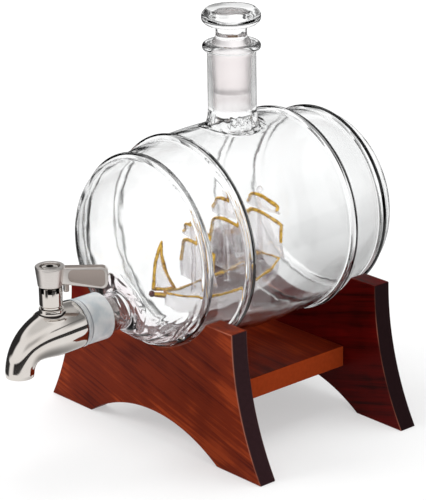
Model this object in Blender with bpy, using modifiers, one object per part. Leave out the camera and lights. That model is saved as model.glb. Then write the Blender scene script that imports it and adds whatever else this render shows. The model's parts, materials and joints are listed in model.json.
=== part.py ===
"""Barrel decanter with a tap, on a wooden stand.

A blown glass barrel lies in two arched wooden panels joined by a shelf. It has four glass hoops,
a ground neck with a stopper on top, and a nozzle low on its front dome. A silicone sleeve carries
a steel tap on the nozzle. Inside the tap a cross-bored plug turns with the lever. A glass ship
stands on the barrel's floor.

The front of the decanter faces -Y, +Z is up, and the origin is on the floor under the middle of
the whole object. A reach is a distance forward from the barrel's middle, so it grows towards -Y.
"""

import math

import bmesh
import bpy
from mathutils import Matrix, Vector

MM = 0.001

# Gaps and overruns
SEAT_GAP = 0.3 * MM
CUT_OVERRUN = 2.0 * MM
WELD_DISTANCE = 0.01 * MM

# Glass barrel
BARREL_AXIS_Z = 117.0 * MM
BARREL_MID_R = 61.5 * MM
BARREL_BULGE = 7.2 * MM
HALF_BODY = 67.9 * MM
DOME_DEPTH = 23.5 * MM
GLASS_WALL = 3.0 * MM
BULGE_POWER = 2.3
HOOP_INNER_REACH = 40.2 * MM
HOOP_HALF_WIDTH = 2.7 * MM
HOOP_HEIGHT = 2.6 * MM

# Neck and its ground socket
NECK_R = 14.1 * MM
NECK_RISE = 48.0 * MM
NECK_FLARE_WIDTH = 3.4 * MM
NECK_FLARE_HEIGHT = 11.5 * MM
NECK_FLARE_SINK = 1.9 * MM
NECK_SKIRT = 2.6 * MM
RIM_R = 16.9 * MM
RIM_DEPTH = 4.6 * MM
SOCKET_TOP_R = 12.0 * MM
SOCKET_DEPTH = 29.0 * MM
SOCKET_TAPER = 0.05

# Stopper
STOPPER_STEM_R = 9.0 * MM
STOPPER_STEM_HEIGHT = 10.2 * MM
STOPPER_HEAD_R = 17.1 * MM
STOPPER_HEAD_HEIGHT = 9.8 * MM
STOPPER_HEAD_FLAT_R = 14.3 * MM

# Nozzle, sleeve and tailpiece
TAP_ABOVE_EDGE = 23.7 * MM
NOZZLE_R = 11.0 * MM
NOZZLE_BORE_R = 8.8 * MM
NOZZLE_LENGTH = 19.7 * MM
NOZZLE_FLARE_R = 15.5 * MM
NOZZLE_FLARE_LENGTH = 7.0 * MM
SLEEVE_GRIP = 8.5 * MM
SLEEVE_LENGTH = 18.4 * MM
SLEEVE_BACK_R = 13.7 * MM
SLEEVE_FRONT_R = 14.0 * MM
SLEEVE_EDGE = 0.8 * MM
TAIL_BORE_R = 6.0 * MM
TAIL_IN_NOZZLE = 16.0 * MM
TAIL_IN_BODY = 6.5 * MM
TAIL_RIB_HEIGHT = 0.7 * MM
TAIL_RIB_LENGTH = 2.4 * MM
TAIL_RIBS = 3
WASHER_THICKNESS = 1.2 * MM

# Tap body: a horn that curves down to the spout
BODY_BACK_R = 14.2 * MM
SPOUT_R = 8.2 * MM
VALVE_REACH = 15.3 * MM
SPOUT_REACH = 23.7 * MM
SPOUT_DROP = 20.4 * MM
SPOUT_WALL = 1.3 * MM
BODY_BORE_R = 3.6 * MM
BODY_SECTIONS = 16
# How the horn's radius falls from the back (1) to the spout (0), along its curve.
HORN_TAPER_SHARES = (1.0, 1.0, 0.97, 0.87, 0.70, 0.51, 0.33, 0.17, 0.06, 0.0, 0.0)
# Control points of the horn's curve, as shares of its reach and of its drop.
HORN_CURVE_REACH_SHARES = (0.0, 0.56, 1.0, 1.0)
HORN_CURVE_DROP_SHARES = (0.0, 0.02, 0.07, 1.0)

# Valve: chamber, plug, stem, bonnet
PLUG_R = 5.2 * MM
PLUG_HALF_HEIGHT = 6.4 * MM
PLUG_BORE_R = 3.1 * MM
STEM_R = 3.0 * MM
STEM_SQUARE = 4.4 * MM
STEM_ABOVE_BONNET = 7.2 * MM
O_RING_THICKNESS = 1.5 * MM
BOSS_R = 7.0 * MM
BOSS_FILLET_R = 3.5 * MM
BOSS_RISE = 14.0 * MM
BONNET_R = 6.6 * MM
BONNET_HEIGHT = 12.2 * MM
BONNET_EDGE = 0.5 * MM
NOTCHES = 9
NOTCH_WIDTH = 2.3 * MM
NOTCH_DEPTH = 2.8 * MM

# Lever
LEVER_ANGLE = math.radians(41.3)
HUB_GAP = 0.4 * MM
HUB_HEIGHT = 11.8 * MM
HUB_TOP_R = 8.4 * MM
HUB_BOTTOM_R = 7.0 * MM
HUB_EDGE = 0.9 * MM
HUB_DISH_R = 5.7 * MM
HUB_DISH_DEPTH = 2.3 * MM
LEVER_LENGTH = 32.0 * MM
LEVER_THICKNESS = 5.0 * MM
LEVER_TOP_DROP = 0.5 * MM
LEVER_ROOT_HEIGHT = 10.1 * MM
LEVER_TIP_HEIGHT = 12.9 * MM
LEVER_ROOT_REACH = 7.2 * MM
LEVER_CORNER_R = 3.4 * MM
LEVER_EDGE = 0.6 * MM
PANEL_INSET = 1.4 * MM
PANEL_DEPTH = 0.6 * MM
STOP_LUG_REACH = 8.2 * MM
STOP_LUG_SIZE = 2.4 * MM
STOP_LUG_DROP = 3.6 * MM
SCREW_HEAD_R = 4.7 * MM
SCREW_HEAD_HEIGHT = 1.7 * MM
SCREW_SHANK_R = 1.6 * MM
SCREW_SHANK_LENGTH = 8.5 * MM
SCREW_SOCKET_R = 2.1 * MM
SCREW_SOCKET_DEPTH = 1.1 * MM

# Wooden stand
PANEL_THICKNESS = 11.8 * MM
PANEL_PITCH = 111.75 * MM
PANEL_LEAD = 66.6 * MM
FOOT_HALF_SPAN = 94.0 * MM
FOOT_WIDTH = 37.2 * MM
HORN_HALF_SPAN = 71.45 * MM
HORN_WIDTH = 19.6 * MM
PANEL_HEIGHT = 84.7 * MM
ARCH_HEIGHT = 17.6 * MM
CRADLE_EXTRA_R = 3.6 * MM
WOOD_EDGE = 0.8 * MM
SHELF_HALF_WIDTH = 46.0 * MM
SHELF_TOP_Z = 40.2 * MM
SHELF_THICKNESS = 12.8 * MM
DOWEL_R = 4.0 * MM
DOWEL_HALF_SPACING = 28.0 * MM
DOWEL_IN_PANEL = 8.0 * MM
DOWEL_IN_SHELF = 15.0 * MM

# Glass ship
SHIP_LENGTH = 82.0 * MM
SHIP_BOW_REACH = 54.0 * MM
SHIP_HALF_BEAM = 13.0 * MM
SHIP_KEEL_RISE = 10.0 * MM
SHIP_DEPTH = 12.5 * MM
SHIP_BOW_RISE = 6.5 * MM
SHIP_STERN_RISE = 9.0 * MM
SPAR_R = 1.5 * MM
BALL_R = 2.0 * MM
POST_R = 2.2 * MM
POST_FOOT_R = 4.6 * MM
SAIL_THICKNESS = 1.3 * MM
SAIL_BULGE = 5.5 * MM
SAIL_ARCH = 7.0 * MM
SAIL_SPACING = 3.2 * MM
BOWSPRIT_LENGTH = 10.0 * MM
BOWSPRIT_RISE = 3.6 * MM
JIB_HEIGHT = 28.0 * MM
JIB_PEAK_REACH = 2.0 * MM
JIB_HEEL_REACH = 7.3 * MM
# Along the hull, from the bow to the stern.
STATION_SHARES = (0.0, 0.08, 0.2, 0.36, 0.55, 0.75, 0.9, 1.0)
BEAM_SHARES = (0.07, 0.42, 0.74, 0.93, 1.0, 0.94, 0.80, 0.66)
KEEL_RISE_SHARES = (0.90, 0.48, 0.14, 0.02, 0.0, 0.05, 0.22, 0.42)
# One hull section from one deck edge down round the keel to the other, as half-beam and depth.
SECTION_SHARES = ((1.0, 1.0), (1.0, 0.62), (0.78, 0.28), (0.42, 0.07), (0.0, 0.0))
# Masts: place along the hull, height above the deck, and the width of each of its two sails.
MAST_NAMES = ("fore", "main", "mizzen")
MAST_PLACE_SHARES = (0.278, 0.582, 0.905)
MAST_HEIGHTS = (46.0 * MM, 57.0 * MM, 47.0 * MM)
LOWER_SAIL_HALF_WIDTHS = (15.0 * MM, 18.0 * MM, 17.0 * MM)
UPPER_SAIL_WIDTH_SHARE = 0.78
LOWER_SAIL_FOOT_SHARE = 0.10
LOWER_SAIL_HEAD_SHARE = 0.70
UPPER_SAIL_HEAD_SHARE = 0.92

# Facets round turned pieces
BARREL_STEPS = 40
TURNED_STEPS = 32
SMALL_STEPS = 20
DOWEL_STEPS = 16

# Places that follow from the sizes
BARREL_END_R = BARREL_MID_R - BARREL_BULGE
DOME_REACH = HALF_BODY + DOME_DEPTH
NOZZLE_TIP = DOME_REACH + NOZZLE_LENGTH
SLEEVE_BACK = NOZZLE_TIP - SLEEVE_GRIP
SLEEVE_FRONT = SLEEVE_BACK + SLEEVE_LENGTH
BODY_FACE = SLEEVE_FRONT + SEAT_GAP
VALVE_AXIS = BODY_FACE + VALVE_REACH
SPOUT_AXIS = VALVE_AXIS + SPOUT_REACH
TAP_FRONT = SPOUT_AXIS + SPOUT_R
BARREL_Y = (TAP_FRONT - DOME_REACH) / 2
TAP_Z = BARREL_AXIS_Z - BARREL_END_R + TAP_ABOVE_EDGE
RIM_Z = BARREL_AXIS_Z + BARREL_MID_R + NECK_RISE
SHIP_KEEL_Z = BARREL_AXIS_Z - BARREL_MID_R + GLASS_WALL + SHIP_KEEL_RISE
SHIP_SHEER_Z = SHIP_KEEL_Z + SHIP_DEPTH
FRONT_PANEL_Y = BARREL_Y - PANEL_LEAD
REAR_PANEL_Y = FRONT_PANEL_Y + PANEL_PITCH
BOSS_TOP_Z = TAP_Z + BOSS_RISE
BONNET_TOP_Z = BOSS_TOP_Z + SEAT_GAP + BONNET_HEIGHT
HUB_Z = BONNET_TOP_Z + HUB_GAP
STEM_TOP_Z = BONNET_TOP_Z + STEM_ABOVE_BONNET

part_collection = None
cutter_collection = None


def clear_scene():
    """Empties the open scene and makes the two collections."""
    global part_collection, cutter_collection
    for item in list(bpy.data.objects):
        bpy.data.objects.remove(item, do_unlink=True)
    part_collection = bpy.data.collections.new("barrel_decanter_with_tap")
    cutter_collection = bpy.data.collections.new("cutters")
    for collection in (part_collection, cutter_collection):
        bpy.context.scene.collection.children.link(collection)


def make_material(name, colour, roughness, metallic=0.0, clear=0.0):
    """A Principled material; clear is its share of transmission."""
    material = bpy.data.materials.new(name)
    material.use_nodes = True
    shader = material.node_tree.nodes["Principled BSDF"]
    shader.inputs["Base Color"].default_value = (*colour, 1.0)
    shader.inputs["Roughness"].default_value = roughness
    shader.inputs["Metallic"].default_value = metallic
    shader.inputs["Transmission Weight"].default_value = clear
    return material


def new_object(name, mesh, location=(0, 0, 0), rotation=(0, 0, 0), cutter=False):
    """Puts a mesh in the scene, as a part or as a hidden helper for a Boolean."""
    item = bpy.data.objects.new(name, mesh)
    item.location = location
    item.rotation_euler = rotation
    (cutter_collection if cutter else part_collection).objects.link(item)
    if cutter:
        item.hide_render = True
        item.display_type = "WIRE"
    return item


def smooth(item, degrees=35):
    """Shades a round piece smooth, with its sharp edges kept."""
    item.data.shade_smooth()
    item.data.set_sharp_from_angle(angle=math.radians(degrees))


FORWARD = (math.pi / 2, 0, 0)


def turned(name, profile, steps, location=(0, 0, 0), rotation=(0, 0, 0), ring=False, cutter=False):
    """Turns (radius, height) points round local Z. The outer side runs from top to bottom.

    A profile that starts and ends on the axis gives a solid. A ring joins its last point to its first.
    """
    mesh = bpy.data.meshes.new(name)
    points = [(radius, 0, height) for radius, height in profile]
    edges = [(i, i + 1) for i in range(len(points) - 1)]
    if ring:
        edges.append((len(points) - 1, 0))
    mesh.from_pydata(points, edges, [])
    item = new_object(name, mesh, location, rotation, cutter)
    screw = item.modifiers.new("turn", "SCREW")
    screw.steps = steps
    screw.render_steps = steps
    screw.use_merge_vertices = True
    screw.merge_threshold = WELD_DISTANCE
    screw.use_smooth_shade = True
    return item


def box(name, low, high, rotation=(0, 0, 0), location=(0, 0, 0), cutter=False):
    """A box between two corners, given in the object's own axes."""
    mesh = bpy.data.meshes.new(name)
    shape = bmesh.new()
    bmesh.ops.create_cube(shape, size=1)
    size = [b - a for a, b in zip(low, high)]
    middle = [(a + b) / 2 for a, b in zip(low, high)]
    bmesh.ops.scale(shape, vec=size, verts=shape.verts)
    bmesh.ops.translate(shape, vec=middle, verts=shape.verts)
    shape.to_mesh(mesh)
    shape.free()
    return new_object(name, mesh, location, rotation, cutter)


def cylinder(name, radius, length, steps, location, rotation=(0, 0, 0), cutter=False):
    """A cylinder centred on its location, along local Z."""
    mesh = bpy.data.meshes.new(name)
    shape = bmesh.new()
    bmesh.ops.create_cone(
        shape, cap_ends=True, segments=steps, radius1=radius, radius2=radius, depth=length
    )
    shape.to_mesh(mesh)
    shape.free()
    return new_object(name, mesh, location, rotation, cutter)


def combine(item, other, operation):
    """Adds an exact Boolean of item with a helper object."""
    modifier = item.modifiers.new(operation.lower() + "_" + other.name, "BOOLEAN")
    modifier.operation = operation
    modifier.solver = "EXACT"
    modifier.object = other
    return item


def cut(item, *cutters):
    for cutter in cutters:
        combine(item, cutter, "DIFFERENCE")
    return item


def join(item, *others):
    for other in others:
        combine(item, other, "UNION")
    return item


def bevel(item, width, segments=1, degrees=35):
    modifier = item.modifiers.new("edges", "BEVEL")
    modifier.width = width
    modifier.segments = segments
    modifier.limit_method = "ANGLE"
    modifier.angle_limit = math.radians(degrees)
    return item


def curve_to_mesh(item):
    """Turns a curve object into a mesh object with welded caps, in the same place and collection."""
    bpy.context.view_layer.update()
    graph = bpy.context.evaluated_depsgraph_get()
    mesh = bpy.data.meshes.new_from_object(item.evaluated_get(graph))
    shape = bmesh.new()
    shape.from_mesh(mesh)
    bmesh.ops.remove_doubles(shape, verts=shape.verts, dist=WELD_DISTANCE)
    bmesh.ops.recalc_face_normals(shape, faces=shape.faces)
    shape.to_mesh(mesh)
    shape.free()
    name = item.name
    cutter = item.hide_render
    matrix = item.matrix_world.copy()
    bpy.data.objects.remove(item, do_unlink=True)
    result = new_object(name, mesh, cutter=cutter)
    result.name = name
    result.matrix_world = matrix
    return result


def plate(name, outline, thickness, matrix, cutter=False):
    """A flat outline in local XY, extruded by its thickness about that plane, as a mesh object."""
    curve = bpy.data.curves.new(name, "CURVE")
    curve.dimensions = "2D"
    curve.fill_mode = "BOTH"
    curve.extrude = thickness / 2
    spline = curve.splines.new("POLY")
    spline.points.add(len(outline) - 1)
    for point, (x, y) in zip(spline.points, outline):
        point.co = (x, y, 0, 1)
    spline.use_cyclic_u = True
    item = new_object(name, curve, cutter=cutter)
    item.matrix_world = matrix
    return curve_to_mesh(item)


def tube(name, path, radii, resolution, cutter=False):
    """A tube along points in the world, with a radius at each point and filled ends, as a mesh object."""
    curve = bpy.data.curves.new(name, "CURVE")
    curve.dimensions = "3D"
    curve.bevel_depth = max(radii)
    curve.bevel_resolution = resolution
    curve.use_fill_caps = True
    spline = curve.splines.new("POLY")
    spline.points.add(len(path) - 1)
    for point, place, radius in zip(spline.points, path, radii):
        point.co = (*place, 1)
        point.radius = radius / max(radii)
    item = new_object(name, curve, cutter=cutter)
    return curve_to_mesh(item)


def arc(centre, radius, start, end, count):
    """Points on an arc in a plane, from one angle to the other, both ends included."""
    points = []
    for i in range(count + 1):
        angle = start + (end - start) * i / count
        points.append((centre[0] + radius * math.cos(angle), centre[1] + radius * math.sin(angle)))
    return points


def between(table, share):
    """Reads an evenly spaced table at a share of its length, with straight lines between entries."""
    place = share * (len(table) - 1)
    low = min(int(place), len(table) - 2)
    return table[low] + (table[low + 1] - table[low]) * (place - low)


def body_radius(reach, wall=0.0):
    """The barrel's radius at a distance from its middle, between its two domes."""
    fall = (BARREL_MID_R - BARREL_END_R) * (abs(reach) / HALF_BODY) ** BULGE_POWER
    return BARREL_MID_R - fall - wall


def barrel_radius(reach, wall=0.0):
    """The barrel's radius anywhere along its length, domes included."""
    beyond = abs(reach) - HALF_BODY
    if beyond <= 0:
        return body_radius(reach, wall)
    share = min(beyond / (DOME_DEPTH - wall), 1.0)
    return (BARREL_END_R - wall) * (1 - share**BULGE_POWER) ** (1 / BULGE_POWER)


def dome_points(wall, count):
    """(radius, distance past the barrel's end) from the pole of a dome out to its edge."""
    points = []
    for i in range(count):
        angle = math.pi / 2 * (1 - i / count)
        radius = (BARREL_END_R - wall) * math.cos(angle) ** (2 / BULGE_POWER)
        depth = (DOME_DEPTH - wall) * math.sin(angle) ** (2 / BULGE_POWER)
        points.append((radius if i else 0, depth))
    return points


def hoop_points(reach):
    """A half-round hoop on the barrel's outer profile, from its front edge to its back edge."""
    points = []
    count = 4
    for i in range(count + 1):
        angle = math.pi * i / count
        place = reach + HOOP_HALF_WIDTH * math.cos(angle)
        points.append((barrel_radius(place) + HOOP_HEIGHT * math.sin(angle), place))
    return points


def barrel_profile():
    """The barrel's outer side from the front pole to the back pole."""
    front = [(r, HALF_BODY + d) for r, d in dome_points(0, 8) if d > HOOP_HALF_WIDTH]
    back = [(r, -reach) for r, reach in reversed(front)]
    points = front + hoop_points(HALF_BODY)
    middle = (HALF_BODY + HOOP_INNER_REACH) / 2
    points.append((body_radius(middle), middle))
    points += hoop_points(HOOP_INNER_REACH)
    for share in (0.55, 0.0, -0.55):
        points.append((body_radius(HOOP_INNER_REACH * share), HOOP_INNER_REACH * share))
    points += hoop_points(-HOOP_INNER_REACH)
    points.append((body_radius(middle), -middle))
    points += hoop_points(-HALF_BODY)
    return points + back


def cavity_profile():
    """The barrel's inner side from the front pole to the back pole."""
    front = [(r, HALF_BODY + d) for r, d in dome_points(GLASS_WALL, 6)]
    points = list(front)
    for share in (1.0, 0.75, 0.45, 0.0, -0.45, -0.75, -1.0):
        points.append((body_radius(HALF_BODY * share, GLASS_WALL), HALF_BODY * share))
    return points + [(r, -reach) for r, reach in reversed(front)]


def cavity_radius(reach):
    """The least radius of the faceted inner wall at a distance from the barrel's middle."""
    points = cavity_profile()
    for (front_r, front), (back_r, back) in zip(points, points[1:]):
        if back <= reach <= front:
            part = (front - reach) / (front - back)
            return (front_r + (back_r - front_r) * part) * math.cos(math.pi / BARREL_STEPS)
    return 0.0


def socket_radius(depth):
    """The ground socket's radius at a depth under the rim."""
    return SOCKET_TOP_R - SOCKET_TAPER * depth


def make_barrel(glass):
    """The blown barrel: body, hoops and domes, with its neck and nozzle joined on and all of it bored out."""
    centre = (0, BARREL_Y, BARREL_AXIS_Z)
    barrel = turned("glass_barrel", barrel_profile(), BARREL_STEPS, centre, FORWARD)

    wall_top = BARREL_AXIS_Z + BARREL_MID_R - GLASS_WALL
    flare_z = BARREL_AXIS_Z + BARREL_MID_R - NECK_FLARE_SINK
    flare = []
    for i in range(5):
        angle = math.pi / 2 * i / 4
        flare.append((
            NECK_R + NECK_FLARE_WIDTH * (1 - math.cos(angle)),
            flare_z + NECK_FLARE_HEIGHT * (1 - math.sin(angle)),
        ))
    flare.append((NECK_R + NECK_FLARE_WIDTH + NECK_SKIRT, flare_z - NECK_SKIRT))
    rim = []
    for i in range(5):
        angle = math.pi / 2 - math.pi * i / 4
        rim.append((
            RIM_R - RIM_DEPTH / 2 + RIM_DEPTH / 2 * math.cos(angle),
            RIM_Z - RIM_DEPTH / 2 + RIM_DEPTH / 2 * math.sin(angle),
        ))
    neck_profile = [(0, RIM_Z)] + rim + [(NECK_R, RIM_Z - RIM_DEPTH * 1.3)]
    neck_profile += flare + [(0, flare[-1][1])]
    neck = turned("neck_outside", neck_profile, TURNED_STEPS, (0, BARREL_Y, 0), cutter=True)

    nozzle_root = DOME_REACH - DOME_DEPTH
    nozzle_place = (0, BARREL_Y, TAP_Z)
    nozzle_profile = [
        (0, NOZZLE_TIP),
        (NOZZLE_R, NOZZLE_TIP),
        (NOZZLE_R, DOME_REACH),
        (NOZZLE_R + (NOZZLE_FLARE_R - NOZZLE_R) * 0.15, DOME_REACH - NOZZLE_FLARE_LENGTH * 0.4),
        (NOZZLE_R + (NOZZLE_FLARE_R - NOZZLE_R) * 0.45, DOME_REACH - NOZZLE_FLARE_LENGTH * 0.7),
        (NOZZLE_FLARE_R, DOME_REACH - NOZZLE_FLARE_LENGTH),
        (NOZZLE_FLARE_R, nozzle_root),
        (0, nozzle_root),
    ]
    nozzle = turned("nozzle_outside", nozzle_profile, TURNED_STEPS, nozzle_place, FORWARD, cutter=True)

    cavity = turned("barrel_inside", cavity_profile(), BARREL_STEPS, centre, FORWARD, cutter=True)
    throat_r = socket_radius(SOCKET_DEPTH)
    inside_z = BARREL_AXIS_Z + BARREL_MID_R / 2
    bore_profile = [
        (0, RIM_Z + CUT_OVERRUN),
        (socket_radius(-CUT_OVERRUN), RIM_Z + CUT_OVERRUN),
        (throat_r, RIM_Z - SOCKET_DEPTH),
        (throat_r, wall_top + NECK_FLARE_HEIGHT),
        (throat_r + GLASS_WALL, wall_top),
        (throat_r + GLASS_WALL, inside_z),
        (0, inside_z),
    ]
    neck_bore = turned("neck_bore", bore_profile, TURNED_STEPS, (0, BARREL_Y, 0), cutter=True)
    bore_back = HALF_BODY / 2
    nozzle_bore_profile = [
        (0, NOZZLE_TIP + CUT_OVERRUN),
        (NOZZLE_BORE_R, NOZZLE_TIP + CUT_OVERRUN),
        (NOZZLE_BORE_R, bore_back),
        (0, bore_back),
    ]
    nozzle_bore = turned(
        "nozzle_bore", nozzle_bore_profile, TURNED_STEPS, nozzle_place, FORWARD, cutter=True
    )
    join(barrel, neck, nozzle)
    cut(barrel, cavity, neck_bore, nozzle_bore)
    barrel.data.materials.append(glass)
    return barrel


def make_stopper(glass):
    """A ground plug under a chamfered disc head. Its origin is at the rim, on the neck's axis."""
    head_low = STOPPER_STEM_HEIGHT
    head_top = head_low + STOPPER_HEAD_HEIGHT
    plug_top_r = socket_radius(0) - SEAT_GAP
    plug_tip_r = socket_radius(SOCKET_DEPTH) - SEAT_GAP
    profile = [
        (0, head_top),
        (STOPPER_HEAD_FLAT_R, head_top),
        (STOPPER_HEAD_R, head_top - STOPPER_HEAD_HEIGHT * 0.34),
        (STOPPER_HEAD_R, head_low + STOPPER_HEAD_HEIGHT * 0.30),
        (STOPPER_HEAD_FLAT_R, head_low + STOPPER_HEAD_HEIGHT * 0.04),
        (STOPPER_STEM_R * 1.06, head_low),
        (STOPPER_STEM_R, head_low - STOPPER_STEM_HEIGHT * 0.16),
        (STOPPER_STEM_R, STOPPER_STEM_HEIGHT * 0.34),
        (plug_top_r, 0),
        (plug_tip_r, -SOCKET_DEPTH + SEAT_GAP),
        (plug_tip_r - SEAT_GAP * 3, -SOCKET_DEPTH - SEAT_GAP),
        (0, -SOCKET_DEPTH - SEAT_GAP),
    ]
    stopper = turned("glass_stopper", profile, TURNED_STEPS, (0, BARREL_Y, RIM_Z))
    stopper.data.materials.append(glass)
    return stopper


def make_sleeve(silicone):
    """The sleeve grips the nozzle from outside and the tailpiece in front of it."""
    step = NOZZLE_TIP + SEAT_GAP
    grip_r = NOZZLE_R + SEAT_GAP
    tail_r = tail_radius() + TAIL_RIB_HEIGHT + SEAT_GAP
    profile = [
        (tail_r, SLEEVE_FRONT),
        (SLEEVE_FRONT_R - SLEEVE_EDGE, SLEEVE_FRONT),
        (SLEEVE_FRONT_R, SLEEVE_FRONT - SLEEVE_EDGE),
        (SLEEVE_FRONT_R, SLEEVE_FRONT - SLEEVE_EDGE * 3),
        (SLEEVE_BACK_R, SLEEVE_BACK + SLEEVE_EDGE),
        (SLEEVE_BACK_R - SLEEVE_EDGE / 2, SLEEVE_BACK),
        (grip_r, SLEEVE_BACK),
        (grip_r, step),
        (tail_r, step),
    ]
    sleeve = turned(
        "silicone_sleeve", profile, TURNED_STEPS, (0, BARREL_Y, TAP_Z), FORWARD, ring=True
    )
    sleeve.data.materials.append(silicone)
    return sleeve


def tail_radius():
    """The tailpiece runs inside the nozzle's bore."""
    return NOZZLE_BORE_R - SEAT_GAP


def make_tailpiece(steel, rubber):
    """The tube from the nozzle into the tap body, ribbed where the sleeve grips it, and its washer."""
    tail_r = tail_radius()
    front = BODY_FACE + TAIL_IN_BODY
    back = NOZZLE_TIP - TAIL_IN_NOZZLE
    rib_front = SLEEVE_FRONT - SLEEVE_EDGE
    profile = [(TAIL_BORE_R, front), (tail_r, front), (tail_r, rib_front)]
    for i in range(TAIL_RIBS):
        place = rib_front - TAIL_RIB_LENGTH * i
        profile.append((tail_r + TAIL_RIB_HEIGHT, place - TAIL_RIB_LENGTH * 0.2))
        profile.append((tail_r, place - TAIL_RIB_LENGTH * 0.95))
    profile += [(tail_r, back), (TAIL_BORE_R, back)]
    place = (0, BARREL_Y, TAP_Z)
    tailpiece = turned("tap_tailpiece", profile, SMALL_STEPS, place, FORWARD, ring=True)
    tailpiece.data.materials.append(steel)

    washer_back = front + SEAT_GAP
    washer_front = washer_back + WASHER_THICKNESS
    washer_profile = [
        (TAIL_BORE_R, washer_front),
        (tail_r, washer_front),
        (tail_r, washer_back),
        (TAIL_BORE_R, washer_back),
    ]
    washer = turned("tailpiece_washer", washer_profile, SMALL_STEPS, place, FORWARD, ring=True)
    washer.data.materials.append(rubber)
    return tailpiece, washer


def horn_point(share):
    """A point in the world on the horn's curve, from the sleeve (0) to the spout's mouth (1)."""
    total_reach = VALVE_REACH + SPOUT_REACH
    weights = (
        (1 - share) ** 3,
        3 * (1 - share) ** 2 * share,
        3 * (1 - share) * share**2,
        share**3,
    )
    reach = sum(w * s for w, s in zip(weights, HORN_CURVE_REACH_SHARES)) * total_reach
    drop = sum(w * s for w, s in zip(weights, HORN_CURVE_DROP_SHARES)) * SPOUT_DROP
    return Vector((0, BARREL_Y - BODY_FACE - reach, TAP_Z - drop))


def horn_radius(share):
    """The horn's outer radius along its curve."""
    return SPOUT_R + (BODY_BACK_R - SPOUT_R) * between(HORN_TAPER_SHARES, share)


def valve_share():
    """Where along the horn's curve the valve's axis crosses it."""
    target = BARREL_Y - VALVE_AXIS
    low, high = 0.0, 1.0
    for _ in range(40):
        middle = (low + high) / 2
        if horn_point(middle).y > target:
            low = middle
        else:
            high = middle
    return low


def make_tap_body(steel):
    """The horn with a boss on top, bored from its back to its mouth and down through the boss."""
    shares = [i / BODY_SECTIONS for i in range(BODY_SECTIONS + 1)]
    path = [horn_point(s) for s in shares]
    body = tube("tap_body", path, [horn_radius(s) for s in shares], 6)

    valve_y = BARREL_Y - VALVE_AXIS
    boss_profile = [(0, BOSS_TOP_Z), (BOSS_R - BONNET_EDGE, BOSS_TOP_Z)]
    for i in range(4):
        angle = math.pi / 2 * i / 4
        boss_profile.append((
            BOSS_R + BOSS_FILLET_R * (1 - math.cos(angle)),
            BOSS_TOP_Z - BONNET_EDGE - BOSS_FILLET_R * math.sin(angle),
        ))
    boss_profile += [(boss_profile[-1][0], TAP_Z), (0, TAP_Z)]
    boss = turned("boss_outside", boss_profile, SMALL_STEPS, (0, valve_y, 0), cutter=True)

    socket_r = tail_radius() + SEAT_GAP
    socket_end = BODY_FACE + TAIL_IN_BODY + WASHER_THICKNESS + SEAT_GAP * 2
    inlet_profile = [
        (0, VALVE_AXIS),
        (BODY_BORE_R, VALVE_AXIS),
        (BODY_BORE_R, socket_end),
        (socket_r, socket_end),
        (socket_r, BODY_FACE - CUT_OVERRUN),
        (0, BODY_FACE - CUT_OVERRUN),
    ]
    inlet = turned(
        "inlet_bore", inlet_profile, TURNED_STEPS, (0, BARREL_Y, TAP_Z), FORWARD, cutter=True
    )

    start = valve_share()
    count = 12
    outlet_path = []
    outlet_radii = []
    for i in range(count + 1):
        share = start + (1 - start) * i / count
        outlet_path.append(horn_point(share))
        mouth_r = horn_radius(share) - SPOUT_WALL
        grow = min(1.0, 1.6 * i / count)
        outlet_radii.append(BODY_BORE_R + (min(mouth_r, SPOUT_R - SPOUT_WALL) - BODY_BORE_R) * grow)
    outlet_path.append(outlet_path[-1] - Vector((0, 0, CUT_OVERRUN)))
    outlet_radii.append(outlet_radii[-1])
    outlet = tube("outlet_bore", outlet_path, outlet_radii, 4, cutter=True)

    chamber_profile = [
        (0, BOSS_TOP_Z + CUT_OVERRUN),
        (PLUG_R + SEAT_GAP, BOSS_TOP_Z + CUT_OVERRUN),
        (PLUG_R + SEAT_GAP, chamber_floor()),
        (0, chamber_floor()),
    ]
    chamber = turned("chamber_bore", chamber_profile, SMALL_STEPS, (0, valve_y, 0), cutter=True)
    join(body, boss)
    cut(body, inlet, outlet, chamber)
    body.data.materials.append(steel)
    smooth(body, 40)
    return body


def chamber_floor():
    return TAP_Z - PLUG_HALF_HEIGHT - SEAT_GAP


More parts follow.
